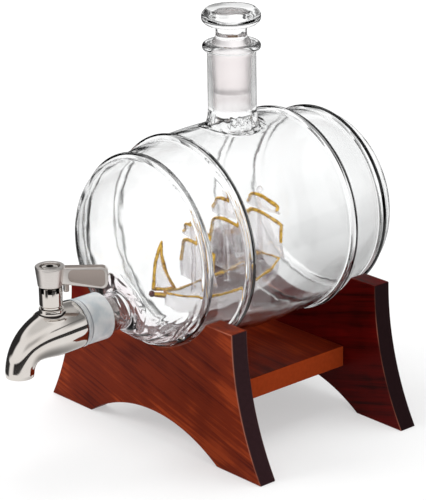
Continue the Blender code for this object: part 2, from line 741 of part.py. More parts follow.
def make_valve(steel, rubber):
    """The cross-bored plug with its stem, the O-ring on its shoulder and the bonnet above."""
    valve_y = BARREL_Y - VALVE_AXIS
    shoulder = TAP_Z + PLUG_HALF_HEIGHT
    ring_low = shoulder + SEAT_GAP
    ring_top = ring_low + O_RING_THICKNESS
    profile = [
        (0, BONNET_TOP_Z),
        (STEM_R, BONNET_TOP_Z),
        (STEM_R, shoulder),
        (PLUG_R - BONNET_EDGE, shoulder),
        (PLUG_R, shoulder - BONNET_EDGE),
        (PLUG_R, -PLUG_HALF_HEIGHT + TAP_Z),
        (0, -PLUG_HALF_HEIGHT + TAP_Z),
    ]
    plug = turned("valve_plug", profile, SMALL_STEPS, (0, valve_y, 0))
    half = STEM_SQUARE / 2
    spin = (0, 0, -LEVER_ANGLE)
    square = box(
        "stem_square",
        (-half, -half, BONNET_TOP_Z - STEM_R),
        (half, half, STEM_TOP_Z),
        spin,
        (0, valve_y, 0),
        cutter=True,
    )
    along_lever = (math.pi / 2, 0, -LEVER_ANGLE)
    cross = cylinder(
        "plug_bore", PLUG_BORE_R, PLUG_R * 3, SMALL_STEPS, (0, valve_y, TAP_Z), along_lever, cutter=True
    )
    hole_depth = SCREW_SHANK_LENGTH + SEAT_GAP
    screw_hole = cylinder(
        "stem_hole",
        SCREW_SHANK_R + SEAT_GAP,
        hole_depth * 2,
        DOWEL_STEPS,
        (0, valve_y, screw_seat_z() - SEAT_GAP),
        cutter=True,
    )
    join(plug, square)
    cut(plug, cross, screw_hole)
    plug.data.materials.append(steel)

    ring_profile = []
    ring_r = O_RING_THICKNESS / 2
    sides = 6
    for i in range(sides):
        angle = 2 * math.pi * (0.5 - i) / sides
        ring_profile.append((
            STEM_R + SEAT_GAP + ring_r + ring_r * math.cos(angle),
            (ring_low + ring_top) / 2 + ring_r * math.sin(angle),
        ))
    o_ring = turned("stem_o_ring", ring_profile, SMALL_STEPS, (0, valve_y, 0), ring=True)
    o_ring.data.materials.append(rubber)

    spigot_r = PLUG_R
    flange_low = BOSS_TOP_Z + SEAT_GAP
    bonnet_profile = [
        (STEM_R + SEAT_GAP, BONNET_TOP_Z),
        (BONNET_R - BONNET_EDGE, BONNET_TOP_Z),
        (BONNET_R, BONNET_TOP_Z - BONNET_EDGE),
        (BONNET_R, flange_low + BONNET_EDGE * 3),
        (BONNET_R - BONNET_EDGE, flange_low + BONNET_EDGE * 2),
        (BONNET_R - BONNET_EDGE, flange_low),
        (spigot_r, flange_low),
        (spigot_r, ring_top + SEAT_GAP),
        (STEM_R + SEAT_GAP, ring_top + SEAT_GAP),
    ]
    bonnet = turned("tap_bonnet", bonnet_profile, SMALL_STEPS, (0, valve_y, 0), ring=True)
    for i in range(NOTCHES):
        turn = math.pi * 2 * i / NOTCHES - LEVER_ANGLE - math.pi / 2
        notch = box(
            f"bonnet_notch_{i + 1}",
            (-NOTCH_WIDTH / 2, STEM_R + BONNET_EDGE * 2, BONNET_TOP_Z - NOTCH_DEPTH),
            (NOTCH_WIDTH / 2, BONNET_R + CUT_OVERRUN, BONNET_TOP_Z + CUT_OVERRUN),
            (0, 0, turn),
            (0, valve_y, 0),
            cutter=True,
        )
        cut(bonnet, notch)
    bonnet.data.materials.append(steel)
    return plug, o_ring, bonnet


def screw_seat_z():
    """The floor of the dish in the hub's top, where the lever screw's head rests."""
    return HUB_Z + HUB_HEIGHT - HUB_DISH_DEPTH


def rounded_paddle(inset):
    """The lever's side outline as (distance from the stem, height above the hub's foot).

    The paddle's top is level and its foot drops towards the tip. An inset of zero gives the lever
    itself, which starts inside the hub. A larger one gives the recessed panel within it.
    """
    top = HUB_HEIGHT - LEVER_TOP_DROP - inset
    corner = LEVER_CORNER_R - inset * 0.4
    root = LEVER_ROOT_REACH
    low_root = HUB_HEIGHT - LEVER_TOP_DROP - LEVER_ROOT_HEIGHT + inset
    low_tip = HUB_HEIGHT - LEVER_TOP_DROP - LEVER_TIP_HEIGHT + inset
    tip = LEVER_LENGTH - inset
    points = arc((tip - corner, top - corner), corner, math.pi / 2, 0, 5)
    points += arc((tip - corner, low_tip + corner), corner, 0, -math.pi / 2, 5)
    if inset:
        start = HUB_TOP_R + inset * 1.3
        points += arc((start + corner, low_root + corner), corner, -math.pi / 2, -math.pi, 4)
        points += arc((start + corner, top - corner), corner, math.pi, math.pi / 2, 4)
    else:
        points += [(root, low_root), (0, low_root), (0, top)]
    return list(reversed(points))


def make_lever(satin, steel):
    """The hub with its paddle and stop lug, dished for the screw and bored for the stem."""
    valve_y = BARREL_Y - VALVE_AXIS
    place = (0, valve_y, HUB_Z)
    profile = [
        (0, HUB_HEIGHT),
        (HUB_TOP_R - HUB_EDGE, HUB_HEIGHT),
        (HUB_TOP_R, HUB_HEIGHT - HUB_EDGE),
        (HUB_BOTTOM_R, HUB_EDGE / 2),
        (HUB_BOTTOM_R - HUB_EDGE / 2, 0),
        (0, 0),
    ]
    lever = turned("tap_lever", profile, TURNED_STEPS, place)

    # Local X of a side plate runs out along the lever and local Y runs up.
    side = Matrix.Translation(place) @ Matrix.Rotation(math.pi / 2 - LEVER_ANGLE, 4, "Z")
    side = side @ Matrix.Rotation(math.pi / 2, 4, "X")
    paddle = plate("paddle_outside", rounded_paddle(0), LEVER_THICKNESS, side, cutter=True)
    bevel(paddle, LEVER_EDGE)
    lug_half = STOP_LUG_SIZE / 2
    lug = box(
        "lug_outside",
        (-lug_half, STOP_LUG_REACH - lug_half, -STOP_LUG_DROP),
        (lug_half, STOP_LUG_REACH + lug_half, HUB_HEIGHT / 3),
        (0, 0, -LEVER_ANGLE),
        place,
        cutter=True,
    )
    recesses = []
    for sign in (1, -1):
        shift = Matrix.Translation((0, 0, sign * LEVER_THICKNESS / 2))
        name = "recess_near" if sign > 0 else "recess_far"
        recess = plate(name, rounded_paddle(PANEL_INSET), PANEL_DEPTH * 2, side @ shift, cutter=True)
        recesses.append(recess)

    dish = cylinder(
        "hub_dish",
        HUB_DISH_R,
        HUB_DISH_DEPTH * 2,
        SMALL_STEPS,
        (0, valve_y, HUB_Z + HUB_HEIGHT),
        cutter=True,
    )
    shank_hole = cylinder(
        "hub_hole",
        SCREW_SHANK_R + SEAT_GAP,
        HUB_HEIGHT * 2,
        DOWEL_STEPS,
        (0, valve_y, HUB_Z + HUB_HEIGHT / 2),
        cutter=True,
    )
    half = STEM_SQUARE / 2 + SEAT_GAP
    socket = box(
        "hub_square",
        (-half, -half, -CUT_OVERRUN),
        (half, half, STEM_TOP_Z + SEAT_GAP - HUB_Z),
        (0, 0, -LEVER_ANGLE),
        place,
        cutter=True,
    )
    join(lever, paddle, lug)
    cut(lever, *recesses, dish, shank_hole, socket)
    lever.data.materials.append(satin)

    seat = screw_seat_z() + SEAT_GAP
    screw_profile = [
        (0, SCREW_HEAD_HEIGHT),
        (SCREW_HEAD_R - SCREW_HEAD_HEIGHT / 3, SCREW_HEAD_HEIGHT),
        (SCREW_HEAD_R, SCREW_HEAD_HEIGHT * 2 / 3),
        (SCREW_HEAD_R, 0),
        (SCREW_SHANK_R, 0),
        (SCREW_SHANK_R, -SCREW_SHANK_LENGTH),
        (0, -SCREW_SHANK_LENGTH),
    ]
    screw = turned("lever_screw", screw_profile, SMALL_STEPS, (0, valve_y, seat))
    hexagon = cylinder(
        "screw_socket",
        SCREW_SOCKET_R,
        SCREW_SOCKET_DEPTH * 2,
        6,
        (0, valve_y, seat + SCREW_HEAD_HEIGHT),
        cutter=True,
    )
    cut(screw, hexagon)
    screw.data.materials.append(steel)
    return lever, screw


def cradle_drop(face_front):
    """The barrel's largest radius over a panel, which the cradle's lowest point clears."""
    reaches = [BARREL_Y - face_front, BARREL_Y - face_front - PANEL_THICKNESS]
    return max(body_radius(reach) for reach in reaches) + SEAT_GAP


def panel_outline(drop):
    """A stand panel seen from the front, in X and Z, for a cradle this far under the barrel's axis."""
    foot_in = FOOT_HALF_SPAN - FOOT_WIDTH
    horn_in = HORN_HALF_SPAN - HORN_WIDTH

    flare = FOOT_HALF_SPAN - HORN_HALF_SPAN
    side_r = (PANEL_HEIGHT**2 + flare**2) / (2 * flare)
    side_sweep = math.asin(PANEL_HEIGHT / side_r)
    side = arc((HORN_HALF_SPAN + side_r, PANEL_HEIGHT), side_r, math.pi + side_sweep, math.pi, 8)

    cradle_r = drop + CRADLE_EXTRA_R
    cradle_z = BARREL_AXIS_Z + CRADLE_EXTRA_R
    reach_x = min(horn_in, cradle_r * 0.98)
    top_angle = -math.asin((cradle_z - PANEL_HEIGHT) / cradle_r)
    cradle = arc((0, cradle_z), cradle_r, top_angle, -math.pi / 2, 12)
    if cradle[0][0] < reach_x:
        cradle.insert(0, (reach_x, PANEL_HEIGHT))

    arch_r = (foot_in**2 + ARCH_HEIGHT**2) / (2 * ARCH_HEIGHT)
    arch_sweep = math.asin(foot_in / arch_r)
    arch = arc(
        (0, ARCH_HEIGHT - arch_r), arch_r, math.pi / 2, math.pi / 2 - arch_sweep, 9
    )
    right = side + cradle
    left = [(-x, z) for x, z in reversed(right[:-1])]
    under_left = [(-x, z) for x, z in reversed(arch)]
    return right + left + under_left + arch[1:]


def make_stand(wood, dowel_wood):
    """Two panels and the shelf between them, on blind dowels."""
    pieces = []
    shelf_z = SHELF_TOP_Z - SHELF_THICKNESS / 2
    shelf_front = FRONT_PANEL_Y + PANEL_THICKNESS + SEAT_GAP
    shelf_back = REAR_PANEL_Y - SEAT_GAP
    shelf = box(
        "shelf_board",
        (-SHELF_HALF_WIDTH, shelf_front, -SHELF_THICKNESS / 2),
        (SHELF_HALF_WIDTH, shelf_back, SHELF_THICKNESS / 2),
        location=(0, 0, shelf_z),
    )
    bevel(shelf, WOOD_EDGE)
    panels = []
    for name, face_y, joint_y, inward in (
        ("front_panel", FRONT_PANEL_Y, FRONT_PANEL_Y + PANEL_THICKNESS, 1),
        ("rear_panel", REAR_PANEL_Y, REAR_PANEL_Y, -1),
    ):
        upright = Matrix.Translation((0, face_y + PANEL_THICKNESS / 2, 0))
        upright = upright @ Matrix.Rotation(math.pi / 2, 4, "X")
        outline = panel_outline(cradle_drop(face_y))
        panel = plate(name, outline, PANEL_THICKNESS, upright)
        bevel(panel, WOOD_EDGE)
        for side, sign in (("left", -1), ("right", 1)):
            dowel_name = f"dowel_{name.split('_')[0]}_{side}"
            start = joint_y - inward * DOWEL_IN_PANEL
            end = joint_y + inward * DOWEL_IN_SHELF
            place = (sign * DOWEL_HALF_SPACING, (start + end) / 2, shelf_z)
            length = DOWEL_IN_PANEL + DOWEL_IN_SHELF
            dowel = cylinder(dowel_name, DOWEL_R, length, DOWEL_STEPS, place, FORWARD)
            bevel(dowel, WOOD_EDGE)
            dowel.data.materials.append(dowel_wood)
            hole = cylinder(
                dowel_name + "_hole",
                DOWEL_R + SEAT_GAP,
                length + SEAT_GAP * 2,
                DOWEL_STEPS,
                place,
                FORWARD,
                cutter=True,
            )
            cut(panel, hole)
            cut(shelf, hole)
            pieces.append(dowel)
        panel.data.materials.append(wood)
        panels.append(panel)
    shelf.data.materials.append(wood)
    return panels + [shelf] + pieces


def sheer_z(share):
    """The height of the hull's deck edge from the bow (0) to the stern (1)."""
    bow = max(0.0, 1 - share / 0.45) ** 2
    stern = max(0.0, (share - 0.45) / 0.55) ** 2
    return SHIP_SHEER_Z + SHIP_BOW_RISE * bow + SHIP_STERN_RISE * stern


def ship_reach(share):
    """The reach of a place along the hull."""
    return SHIP_BOW_REACH - SHIP_LENGTH * share


def between_stations(values, share):
    """A value at a place along the hull, read in straight lines from the stations' own values."""
    for i in range(len(STATION_SHARES) - 1):
        low, high = STATION_SHARES[i], STATION_SHARES[i + 1]
        if share <= high:
            part = (share - low) / (high - low)
            break
    return values[i] + (values[i + 1] - values[i]) * part


def keel_z(share):
    """The height of the hull's keel."""
    return SHIP_KEEL_Z + (SHIP_SHEER_Z - SHIP_KEEL_Z) * between_stations(KEEL_RISE_SHARES, share)


def deck_z(share):
    """The height of the hull's flat-topped deck, a little over the sheer between two stations."""
    return between_stations([sheer_z(station) for station in STATION_SHARES], share)


def make_hull(glass):
    """The hull is lofted through its stations, which differ in beam, keel and sheer."""
    shape = bmesh.new()
    rings = []
    for share, beam in zip(STATION_SHARES, BEAM_SHARES):
        low, top = keel_z(share), sheer_z(share)
        half = [(w * beam * SHIP_HALF_BEAM, low + (top - low) * h) for w, h in SECTION_SHARES]
        section = half + [(-x, z) for x, z in reversed(half[:-1])]
        y = BARREL_Y - ship_reach(share)
        rings.append([shape.verts.new((x, y, z)) for x, z in section])
    count = len(rings[0])
    for front, back in zip(rings, rings[1:]):
        for i in range(count):
            j = (i + 1) % count
            shape.faces.new((front[i], front[j], back[j], back[i]))
    shape.faces.new(rings[0])
    shape.faces.new(rings[-1])
    bmesh.ops.recalc_face_normals(shape, faces=shape.faces)
    mesh = bpy.data.meshes.new("ship_hull")
    shape.to_mesh(mesh)
    shape.free()
    hull = new_object("ship_hull", mesh)
    smooth(hull, 50)
    hull.data.materials.append(glass)
    return hull


def sail(name, mast_reach, foot_z, head_z, half_width, glass):
    """A sheet that bulges forward in front of its mast, with an arched head."""
    mesh = bpy.data.meshes.new(name)
    shape = bmesh.new()
    columns, rows = 6, 3
    bmesh.ops.create_grid(shape, x_segments=columns, y_segments=rows, size=1)
    centre_reach = mast_reach + SPAR_R + SEAT_GAP + SAIL_THICKNESS / 2
    for vertex in shape.verts:
        u, v = vertex.co.x, (vertex.co.y + 1) / 2
        width = half_width * (1 - (1 - UPPER_SAIL_WIDTH_SHARE) * v / 2)
        reach = centre_reach - SAIL_BULGE * u * u + SAIL_THICKNESS * math.sin(math.pi * v)
        arch = SAIL_ARCH * (1 - u * u)
        z = foot_z + (head_z - SAIL_ARCH - foot_z) * v + arch * (0.35 + 0.65 * v)
        vertex.co = Vector((width * u, BARREL_Y - reach, z))
    bmesh.ops.recalc_face_normals(shape, faces=shape.faces)
    shape.to_mesh(mesh)
    shape.free()
    item = new_object(name, mesh)
    thick = item.modifiers.new("sheet", "SOLIDIFY")
    thick.thickness = SAIL_THICKNESS
    thick.offset = 0
    smooth(item)
    item.data.materials.append(glass)
    return item


def make_ship(glass):
    """Hull, posts, masts, sails, bowsprit and jib, each seated on the piece that carries it."""
    make_hull(glass)

    for name, share in (("front", 0.26), ("rear", 0.74)):
        reach = ship_reach(share)
        inside_r = min(cavity_radius(reach - POST_FOOT_R), cavity_radius(reach + POST_FOOT_R))
        floor = BARREL_AXIS_Z - math.sqrt(inside_r**2 - POST_FOOT_R**2) + SEAT_GAP
        step = POST_R / SHIP_LENGTH
        top = min(keel_z(share - step), keel_z(share), keel_z(share + step)) - SEAT_GAP
        profile = [
            (0, top),
            (POST_R, top),
            (POST_R, floor + (top - floor) * 0.55),
            (POST_FOOT_R, floor + (top - floor) * 0.18),
            (POST_FOOT_R, floor),
            (0, floor),
        ]
        post = turned(f"ship_post_{name}", profile, DOWEL_STEPS, (0, BARREL_Y - reach, 0))
        post.data.materials.append(glass)

    for name, share, height, half_width in zip(
        MAST_NAMES, MAST_PLACE_SHARES, MAST_HEIGHTS, LOWER_SAIL_HALF_WIDTHS
    ):
        reach = ship_reach(share)
        step = SPAR_R / SHIP_LENGTH
        foot = max(deck_z(share - step), deck_z(share + step)) + SEAT_GAP
        top = foot + height
        profile = [(0, top)]
        for i in range(1, 5):
            angle = math.pi / 2 - math.pi * 0.78 * i / 4
            profile.append((BALL_R * math.cos(angle), top - BALL_R + BALL_R * math.sin(angle)))
        profile += [(SPAR_R * 0.7, top - BALL_R * 2.2), (SPAR_R, foot), (0, foot)]
        mast = turned(f"ship_{name}_mast", profile, 12, (0, BARREL_Y - reach, 0))
        mast.data.materials.append(glass)
        low = foot + height * LOWER_SAIL_FOOT_SHARE
        middle = foot + height * LOWER_SAIL_HEAD_SHARE
        high = foot + height * UPPER_SAIL_HEAD_SHARE
        sail(f"ship_{name}_lower_sail", reach, low, middle, half_width, glass)
        upper_width = half_width * UPPER_SAIL_WIDTH_SHARE
        upper_foot = middle - SAIL_ARCH * 0.65 + SAIL_SPACING
        sail(f"ship_{name}_upper_sail", reach, upper_foot, high, upper_width, glass)

    bow_z = sheer_z(0.0)
    bow_y = BARREL_Y - SHIP_BOW_REACH
    start_z = bow_z - SPAR_R
    tilt = math.atan2(BOWSPRIT_RISE, BOWSPRIT_LENGTH)
    root = Vector((0, bow_y - SEAT_GAP - SPAR_R * math.sin(tilt), start_z))
    tip = root + Vector((0, -BOWSPRIT_LENGTH, BOWSPRIT_RISE))
    bowsprit = tube("ship_bowsprit", [root, root.lerp(tip, 0.5), tip], [SPAR_R] * 3, 2)
    smooth(bowsprit)
    bowsprit.data.materials.append(glass)

    clear = (SPAR_R + SEAT_GAP) / math.cos(tilt)
    slope = BOWSPRIT_RISE / BOWSPRIT_LENGTH
    run = BOWSPRIT_LENGTH - SPAR_R
    low_tip = (SHIP_BOW_REACH + run, start_z + slope * run + clear)
    low_root = (SHIP_BOW_REACH, start_z + clear)
    heel = (SHIP_BOW_REACH - JIB_HEEL_REACH, low_root[1])
    peak = (SHIP_BOW_REACH + JIB_PEAK_REACH, low_tip[1] + JIB_HEIGHT)
    outline = [low_tip, peak, heel, low_root]
    upright = Matrix.Translation((0, BARREL_Y, 0)) @ Matrix.Rotation(-math.pi / 2, 4, "Z")
    upright = upright @ Matrix.Rotation(math.pi / 2, 4, "X")
    jib = plate("ship_jib", outline, SAIL_THICKNESS, upright)
    jib.data.materials.append(glass)


def build():
    clear_scene()
    glass = make_material("clear_glass", (0.93, 0.96, 0.96), 0.02, clear=1.0)
    ship_glass = make_material("worked_glass", (0.96, 0.93, 0.86), 0.03, clear=1.0)
    silicone = make_material("silicone", (0.72, 0.74, 0.78), 0.45, clear=0.4)
    steel = make_material("polished_steel", (0.78, 0.77, 0.75), 0.08, metallic=1.0)
    satin = make_material("satin_steel", (0.62, 0.60, 0.57), 0.32, metallic=1.0)
    rubber = make_material("seal_rubber", (0.04, 0.04, 0.04), 0.6)
    wood = make_material("red_brown_wood", (0.20, 0.045, 0.02), 0.38)
    dowel_wood = make_material("dowel_wood", (0.55, 0.38, 0.22), 0.6)
    make_stand(wood, dowel_wood)
    make_barrel(glass)
    make_ship(ship_glass)
    make_stopper(glass)
    make_sleeve(silicone)
    make_tailpiece(steel, rubber)
    make_tap_body(steel)
    make_valve(steel, rubber)
    make_lever(satin, steel)


build()
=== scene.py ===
"""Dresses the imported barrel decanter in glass, steel, silicone, gold and lacquered wood."""

import json
from math import asin, cos, pi, radians, sin, sqrt

import bmesh
import bpy
from mathutils import Matrix, Vector

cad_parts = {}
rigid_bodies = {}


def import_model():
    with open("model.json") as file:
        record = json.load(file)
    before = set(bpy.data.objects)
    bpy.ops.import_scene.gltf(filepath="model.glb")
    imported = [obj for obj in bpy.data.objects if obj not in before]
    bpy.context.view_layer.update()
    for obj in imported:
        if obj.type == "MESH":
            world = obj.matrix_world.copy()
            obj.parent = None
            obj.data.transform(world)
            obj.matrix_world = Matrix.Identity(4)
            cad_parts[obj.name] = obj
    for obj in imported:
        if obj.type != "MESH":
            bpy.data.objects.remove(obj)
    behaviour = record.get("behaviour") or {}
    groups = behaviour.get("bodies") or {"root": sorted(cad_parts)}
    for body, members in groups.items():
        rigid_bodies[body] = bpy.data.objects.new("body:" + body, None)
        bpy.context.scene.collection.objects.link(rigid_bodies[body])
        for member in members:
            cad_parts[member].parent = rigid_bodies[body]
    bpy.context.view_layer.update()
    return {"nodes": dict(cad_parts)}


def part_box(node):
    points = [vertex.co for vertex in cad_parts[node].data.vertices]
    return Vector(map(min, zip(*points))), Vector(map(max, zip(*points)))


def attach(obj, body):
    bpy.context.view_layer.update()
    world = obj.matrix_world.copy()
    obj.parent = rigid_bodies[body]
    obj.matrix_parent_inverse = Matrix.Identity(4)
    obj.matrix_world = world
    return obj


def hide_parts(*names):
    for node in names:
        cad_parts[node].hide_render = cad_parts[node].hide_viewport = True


for leftover in list(bpy.data.objects):
    bpy.data.objects.remove(leftover, do_unlink=True)
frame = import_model()

MM = 0.001
QUARTER = pi / 2

# Sizes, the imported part's own where it has them
BARREL_AXIS_Z = 117 * MM
BARREL_MID_R = 61.5 * MM
BARREL_END_R = 54.3 * MM
HALF_BODY = 67.9 * MM
DOME_DEPTH = 23.5 * MM
GLASS_WALL = 3 * MM
BULGE_POWER = 2.3
HOOP_REACHES = (67.9 * MM, 40.2 * MM, -40.2 * MM, -67.9 * MM)
HOOP_HALF_WIDTH = 2.7 * MM
HOOP_HEIGHT = 2.6 * MM
HOOP_FILLET = 0.5 * MM
HOOP_SPREAD = 1.6
HOOP_HOLLOW = 2.2 * MM
HOOP_HOLLOW_HALF_WIDTH = 3.1 * MM
BLOWN_WALL = 1.6 * MM

NECK_R = 14.1 * MM
NECK_HEIGHT = 109.5 * MM
NECK_FLARE_WIDTH = 3.4 * MM
NECK_FLARE_HEIGHT = 11.5 * MM
NECK_FLARE_SINK = 1.9 * MM
NECK_SKIRT = 2.6 * MM
RIM_R = 16.9 * MM
RIM_DEPTH = 4.6 * MM
SOCKET_TOP_R = 12 * MM
SOCKET_DEPTH = 29 * MM
SOCKET_TAPER = 0.05
SEAT_GAP = 0.3 * MM
OVERRUN = 2 * MM

STOPPER_STEM_R = 9 * MM
STOPPER_STEM_HEIGHT = 10.2 * MM
STOPPER_HEAD_R = 17.1 * MM
STOPPER_HEAD_HEIGHT = 9.8 * MM
STOPPER_HEAD_FLAT_R = 14.3 * MM

NOZZLE_R = 11 * MM
NOZZLE_BORE_R = 8.8 * MM
NOZZLE_LENGTH = 19.7 * MM
NOZZLE_FLARE_R = 15.5 * MM
NOZZLE_FLARE_LENGTH = 7 * MM
TAP_Z = 86.4 * MM

SLEEVE_GRIP = 8.5 * MM
SLEEVE_LENGTH = 18.4 * MM
SLEEVE_BACK_R = 13.7 * MM
SLEEVE_MID_R = 13.6 * MM
SLEEVE_FRONT_R = 14 * MM
SLEEVE_LIP = 3 * MM
SLEEVE_GROOVE = 0.6 * MM
TAIL_BORE_R = 6 * MM
TAIL_IN_NOZZLE = 16 * MM
TAIL_IN_BODY = 6.5 * MM
TAIL_RIB_HEIGHT = 0.7 * MM
TAIL_RIB_LENGTH = 2.4 * MM
WASHER_THICKNESS = 1.2 * MM

BODY_BACK_R = 14.2 * MM
SPOUT_R = 8.2 * MM
VALVE_REACH = 15.3 * MM
SPOUT_REACH = 23.7 * MM
SPOUT_DROP = 20.4 * MM
SPOUT_WALL = 1.3 * MM
BODY_BORE_R = 3.6 * MM
HORN_TAPER_SHARES = (1.0, 1.0, 0.97, 0.87, 0.70, 0.51, 0.33, 0.17, 0.06, 0.0, 0.0)
HORN_REACH_SHARES = (0.0, 0.56, 1.0, 1.0)
HORN_DROP_SHARES = (0.0, 0.02, 0.07, 1.0)

PLUG_R = 5.2 * MM
PLUG_HALF_HEIGHT = 6.4 * MM
STEM_R = 3 * MM
STEM_SQUARE = 4.4 * MM
STEM_ABOVE_BONNET = 7.2 * MM
BOSS_R = 7 * MM
BOSS_FILLET_R = 3.5 * MM
BOSS_RISE = 14 * MM
BONNET_R = 6.6 * MM
BONNET_HEIGHT = 12.2 * MM
NOTCHES = 9
NOTCH_WIDTH = 2.3 * MM
NOTCH_DEPTH = 2.8 * MM

LEVER_ANGLE = radians(41.3)
HUB_GAP = 0.4 * MM
HUB_HEIGHT = 11.8 * MM
HUB_TOP_R = 8.4 * MM
HUB_BOTTOM_R = 7 * MM
HUB_DISH_R = 5.7 * MM
HUB_DISH_DEPTH = 2.3 * MM
LEVER_LENGTH = 32 * MM
LEVER_THICKNESS = 5 * MM
LEVER_TOP_DROP = 0.5 * MM
LEVER_ROOT_HEIGHT = 10.1 * MM
LEVER_TIP_HEIGHT = 12.9 * MM
LEVER_ROOT_REACH = 7.2 * MM
LEVER_CORNER_R = 3.4 * MM
PANEL_INSET = 1.4 * MM
PANEL_DEPTH = 0.6 * MM
STOP_LUG_REACH = 8.2 * MM
STOP_LUG_SIZE = 2.4 * MM
STOP_LUG_DROP = 3.6 * MM
LUG_FULLNESS = 0.45 * MM
SCREW_HEAD_R = 4.7 * MM
SCREW_HEAD_HEIGHT = 1.7 * MM
SCREW_SHANK_R = 1.6 * MM
SCREW_SHANK_LENGTH = 8.5 * MM
SCREW_SOCKET_R = 2.1 * MM
SCREW_SOCKET_DEPTH = 1.1 * MM

FOOT_HALF_SPAN = 94 * MM
FOOT_WIDTH = 37.2 * MM
HORN_HALF_SPAN = 71.45 * MM
HORN_WIDTH = 19.6 * MM
PANEL_HEIGHT = 84.7 * MM
ARCH_HEIGHT = 17.6 * MM
CRADLE_EXTRA_R = 3.6 * MM

SHIP_LENGTH = 82 * MM
SHIP_BOW_REACH = 54 * MM
SHIP_HALF_BEAM = 13 * MM
SHIP_KEEL_Z = 68.5 * MM
SHIP_SHEER_Z = 81 * MM
SHIP_BOW_RISE = 6.5 * MM
SHIP_STERN_RISE = 9 * MM
SPAR_R = 1.5 * MM
BALL_R = 2 * MM
POST_R = 2.2 * MM
POST_FOOT_R = 4.6 * MM
SAIL_THICKNESS = 1.3 * MM
SAIL_BULGE = 5.5 * MM
SAIL_ARCH = 7 * MM
RAIL_R = 0.7 * MM
GOLD_R = 1.05 * MM
JIB_PEAK_REACH = 2 * MM
JIB_SIDE_CURVES = (0.06, -0.10, 0.05)
UPPER_SAIL_WIDTH_SHARE = 0.78
STATION_SHARES = (0.0, 0.08, 0.2, 0.36, 0.55, 0.75, 0.9, 1.0)
BEAM_SHARES = (0.07, 0.42, 0.74, 0.93, 1.0, 0.94, 0.80, 0.66)
KEEL_RISE_SHARES = (0.90, 0.48, 0.14, 0.02, 0.0, 0.05, 0.22, 0.42)
HULL_WIDTH_SHARES = (1.0, 0.99, 0.8, 0.43, 0.0)
HULL_RISE_SHARES = (1.0, 0.62, 0.28, 0.07, 0.0)

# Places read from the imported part
BARREL_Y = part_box("glass_barrel")[1].y - HALF_BODY - DOME_DEPTH
RIM_Z = BARREL_AXIS_Z + NECK_HEIGHT
DOME_REACH = HALF_BODY + DOME_DEPTH
NOZZLE_TIP = DOME_REACH + NOZZLE_LENGTH
VALVE_Y = sum(corner.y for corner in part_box("valve_plug")) / 2
SLEEVE_BACK = NOZZLE_TIP - SLEEVE_GRIP
SLEEVE_FRONT = SLEEVE_BACK + SLEEVE_LENGTH
BODY_FACE = SLEEVE_FRONT + SEAT_GAP
BOSS_TOP_Z = TAP_Z + BOSS_RISE
BONNET_TOP_Z = BOSS_TOP_Z + SEAT_GAP + BONNET_HEIGHT
HUB_Z = BONNET_TOP_Z + HUB_GAP
TAIL_R = NOZZLE_BORE_R - SEAT_GAP
TAP_AXIS = Vector((0, BARREL_Y, TAP_Z))
VALVE_AXIS = Vector((0, VALVE_Y, 0))

FORWARD = Matrix.Rotation(QUARTER, 4, "X")
UPRIGHT = Matrix.Identity(4)

# Settings of the finishes
GLASS_IOR = 1.47
BEAD_IOR = 1.5
SILICONE_IOR = 1.41
LAMP_LIGHT_THROUGH = 0.92
SHIP_STRAIGHT_VIEW = 0.66
GROUND_BELOW_PLUG = 9.8 * MM
GROUND_R = 12.3 * MM
RIM_CLEAR = 4 * MM
WAVE_RELIEF = 0.45 * MM
RIPPLE_RELIEF = 0.55 * MM
SWIRL_RELIEF = 3.2 * MM
FOOT_RELIEF = 2 * MM
PANEL_GRAIN_TILT = radians(15)
SHELF_GRAIN_TURN = radians(4)

# The studio: the directions of the camera's look, of the dark flag and of the photograph's left, and the rest
LOOK = Vector((-0.70804, 0.62005, -0.33797)).normalized()
LOOK_FLAT = Vector((LOOK.x, LOOK.y, 0)).normalized()
FLAG = Vector((-0.996, 0.087, 0))
LEFT = Vector((-0.659, -0.752, 0))
CAMERA_BEFORE_FACE = Vector((1.064084, -0.881923, 0.612130))
CAMERA_ROLL = -0.017
FOCAL_PIXELS = 2577.2
PICTURE_HEIGHT = 500
SENSOR = 36.0
LAMPS = (("key_lamp", (-0.9, -1.1, 1.3), 0.9, 14.0), ("top_lamp", (-0.1, 0.2, 1.6), 1.2, 10.0))


def on_left(operation):
    """An operator of Shade as a Math node, with the shade as its first value."""
    return lambda shade, other: shade.math(operation, shade, other)


def on_right(operation):
    """The same with the shade as its second value."""
    return lambda shade, other: shade.math(operation, other, shade)


class Shade:
    """One socket of a finish. Arithmetic on it adds Math nodes to the same finish."""

    def __init__(self, finish, made, out=0):
        self.finish = finish
        self.made = made
        self.socket = made.outputs[out] if made.outputs else None

    def out(self, name):
        """Another output of the same node."""
        return Shade(self.finish, self.made, name)

    def math(self, operation, first, second=0.0):
        """A Math node in the same finish."""
        return self.finish.node("Math", {0: first, 1: second}, operation=operation)

    __add__, __radd__ = on_left("ADD"), on_right("ADD")
    __sub__, __rsub__ = on_left("SUBTRACT"), on_right("SUBTRACT")
    __mul__, __rmul__ = on_left("MULTIPLY"), on_right("MULTIPLY")
    __truediv__, __pow__ = on_left("DIVIDE"), on_left("POWER")
    most, least = on_left("MAXIMUM"), on_left("MINIMUM")

    def size(self):
        """The value without its sign."""
        return self.math("ABSOLUTE", self)

    def rise(self, low, high):
        """0 below low, 1 above high, and a smooth step between."""
        sockets = {"Value": self, "From Min": low, "From Max": high}
        return self.finish.node("MapRange", sockets, interpolation_type="SMOOTHSTEP")

    def fall(self, low, high):
        """1 below low, 0 above high, and a smooth step between."""
        return 1 - self.rise(low, high)

    def within(self, low, high, edge):
        """1 between low and high, with soft edges."""
        return self.rise(low - edge, low + edge) * self.fall(high - edge, high + edge)


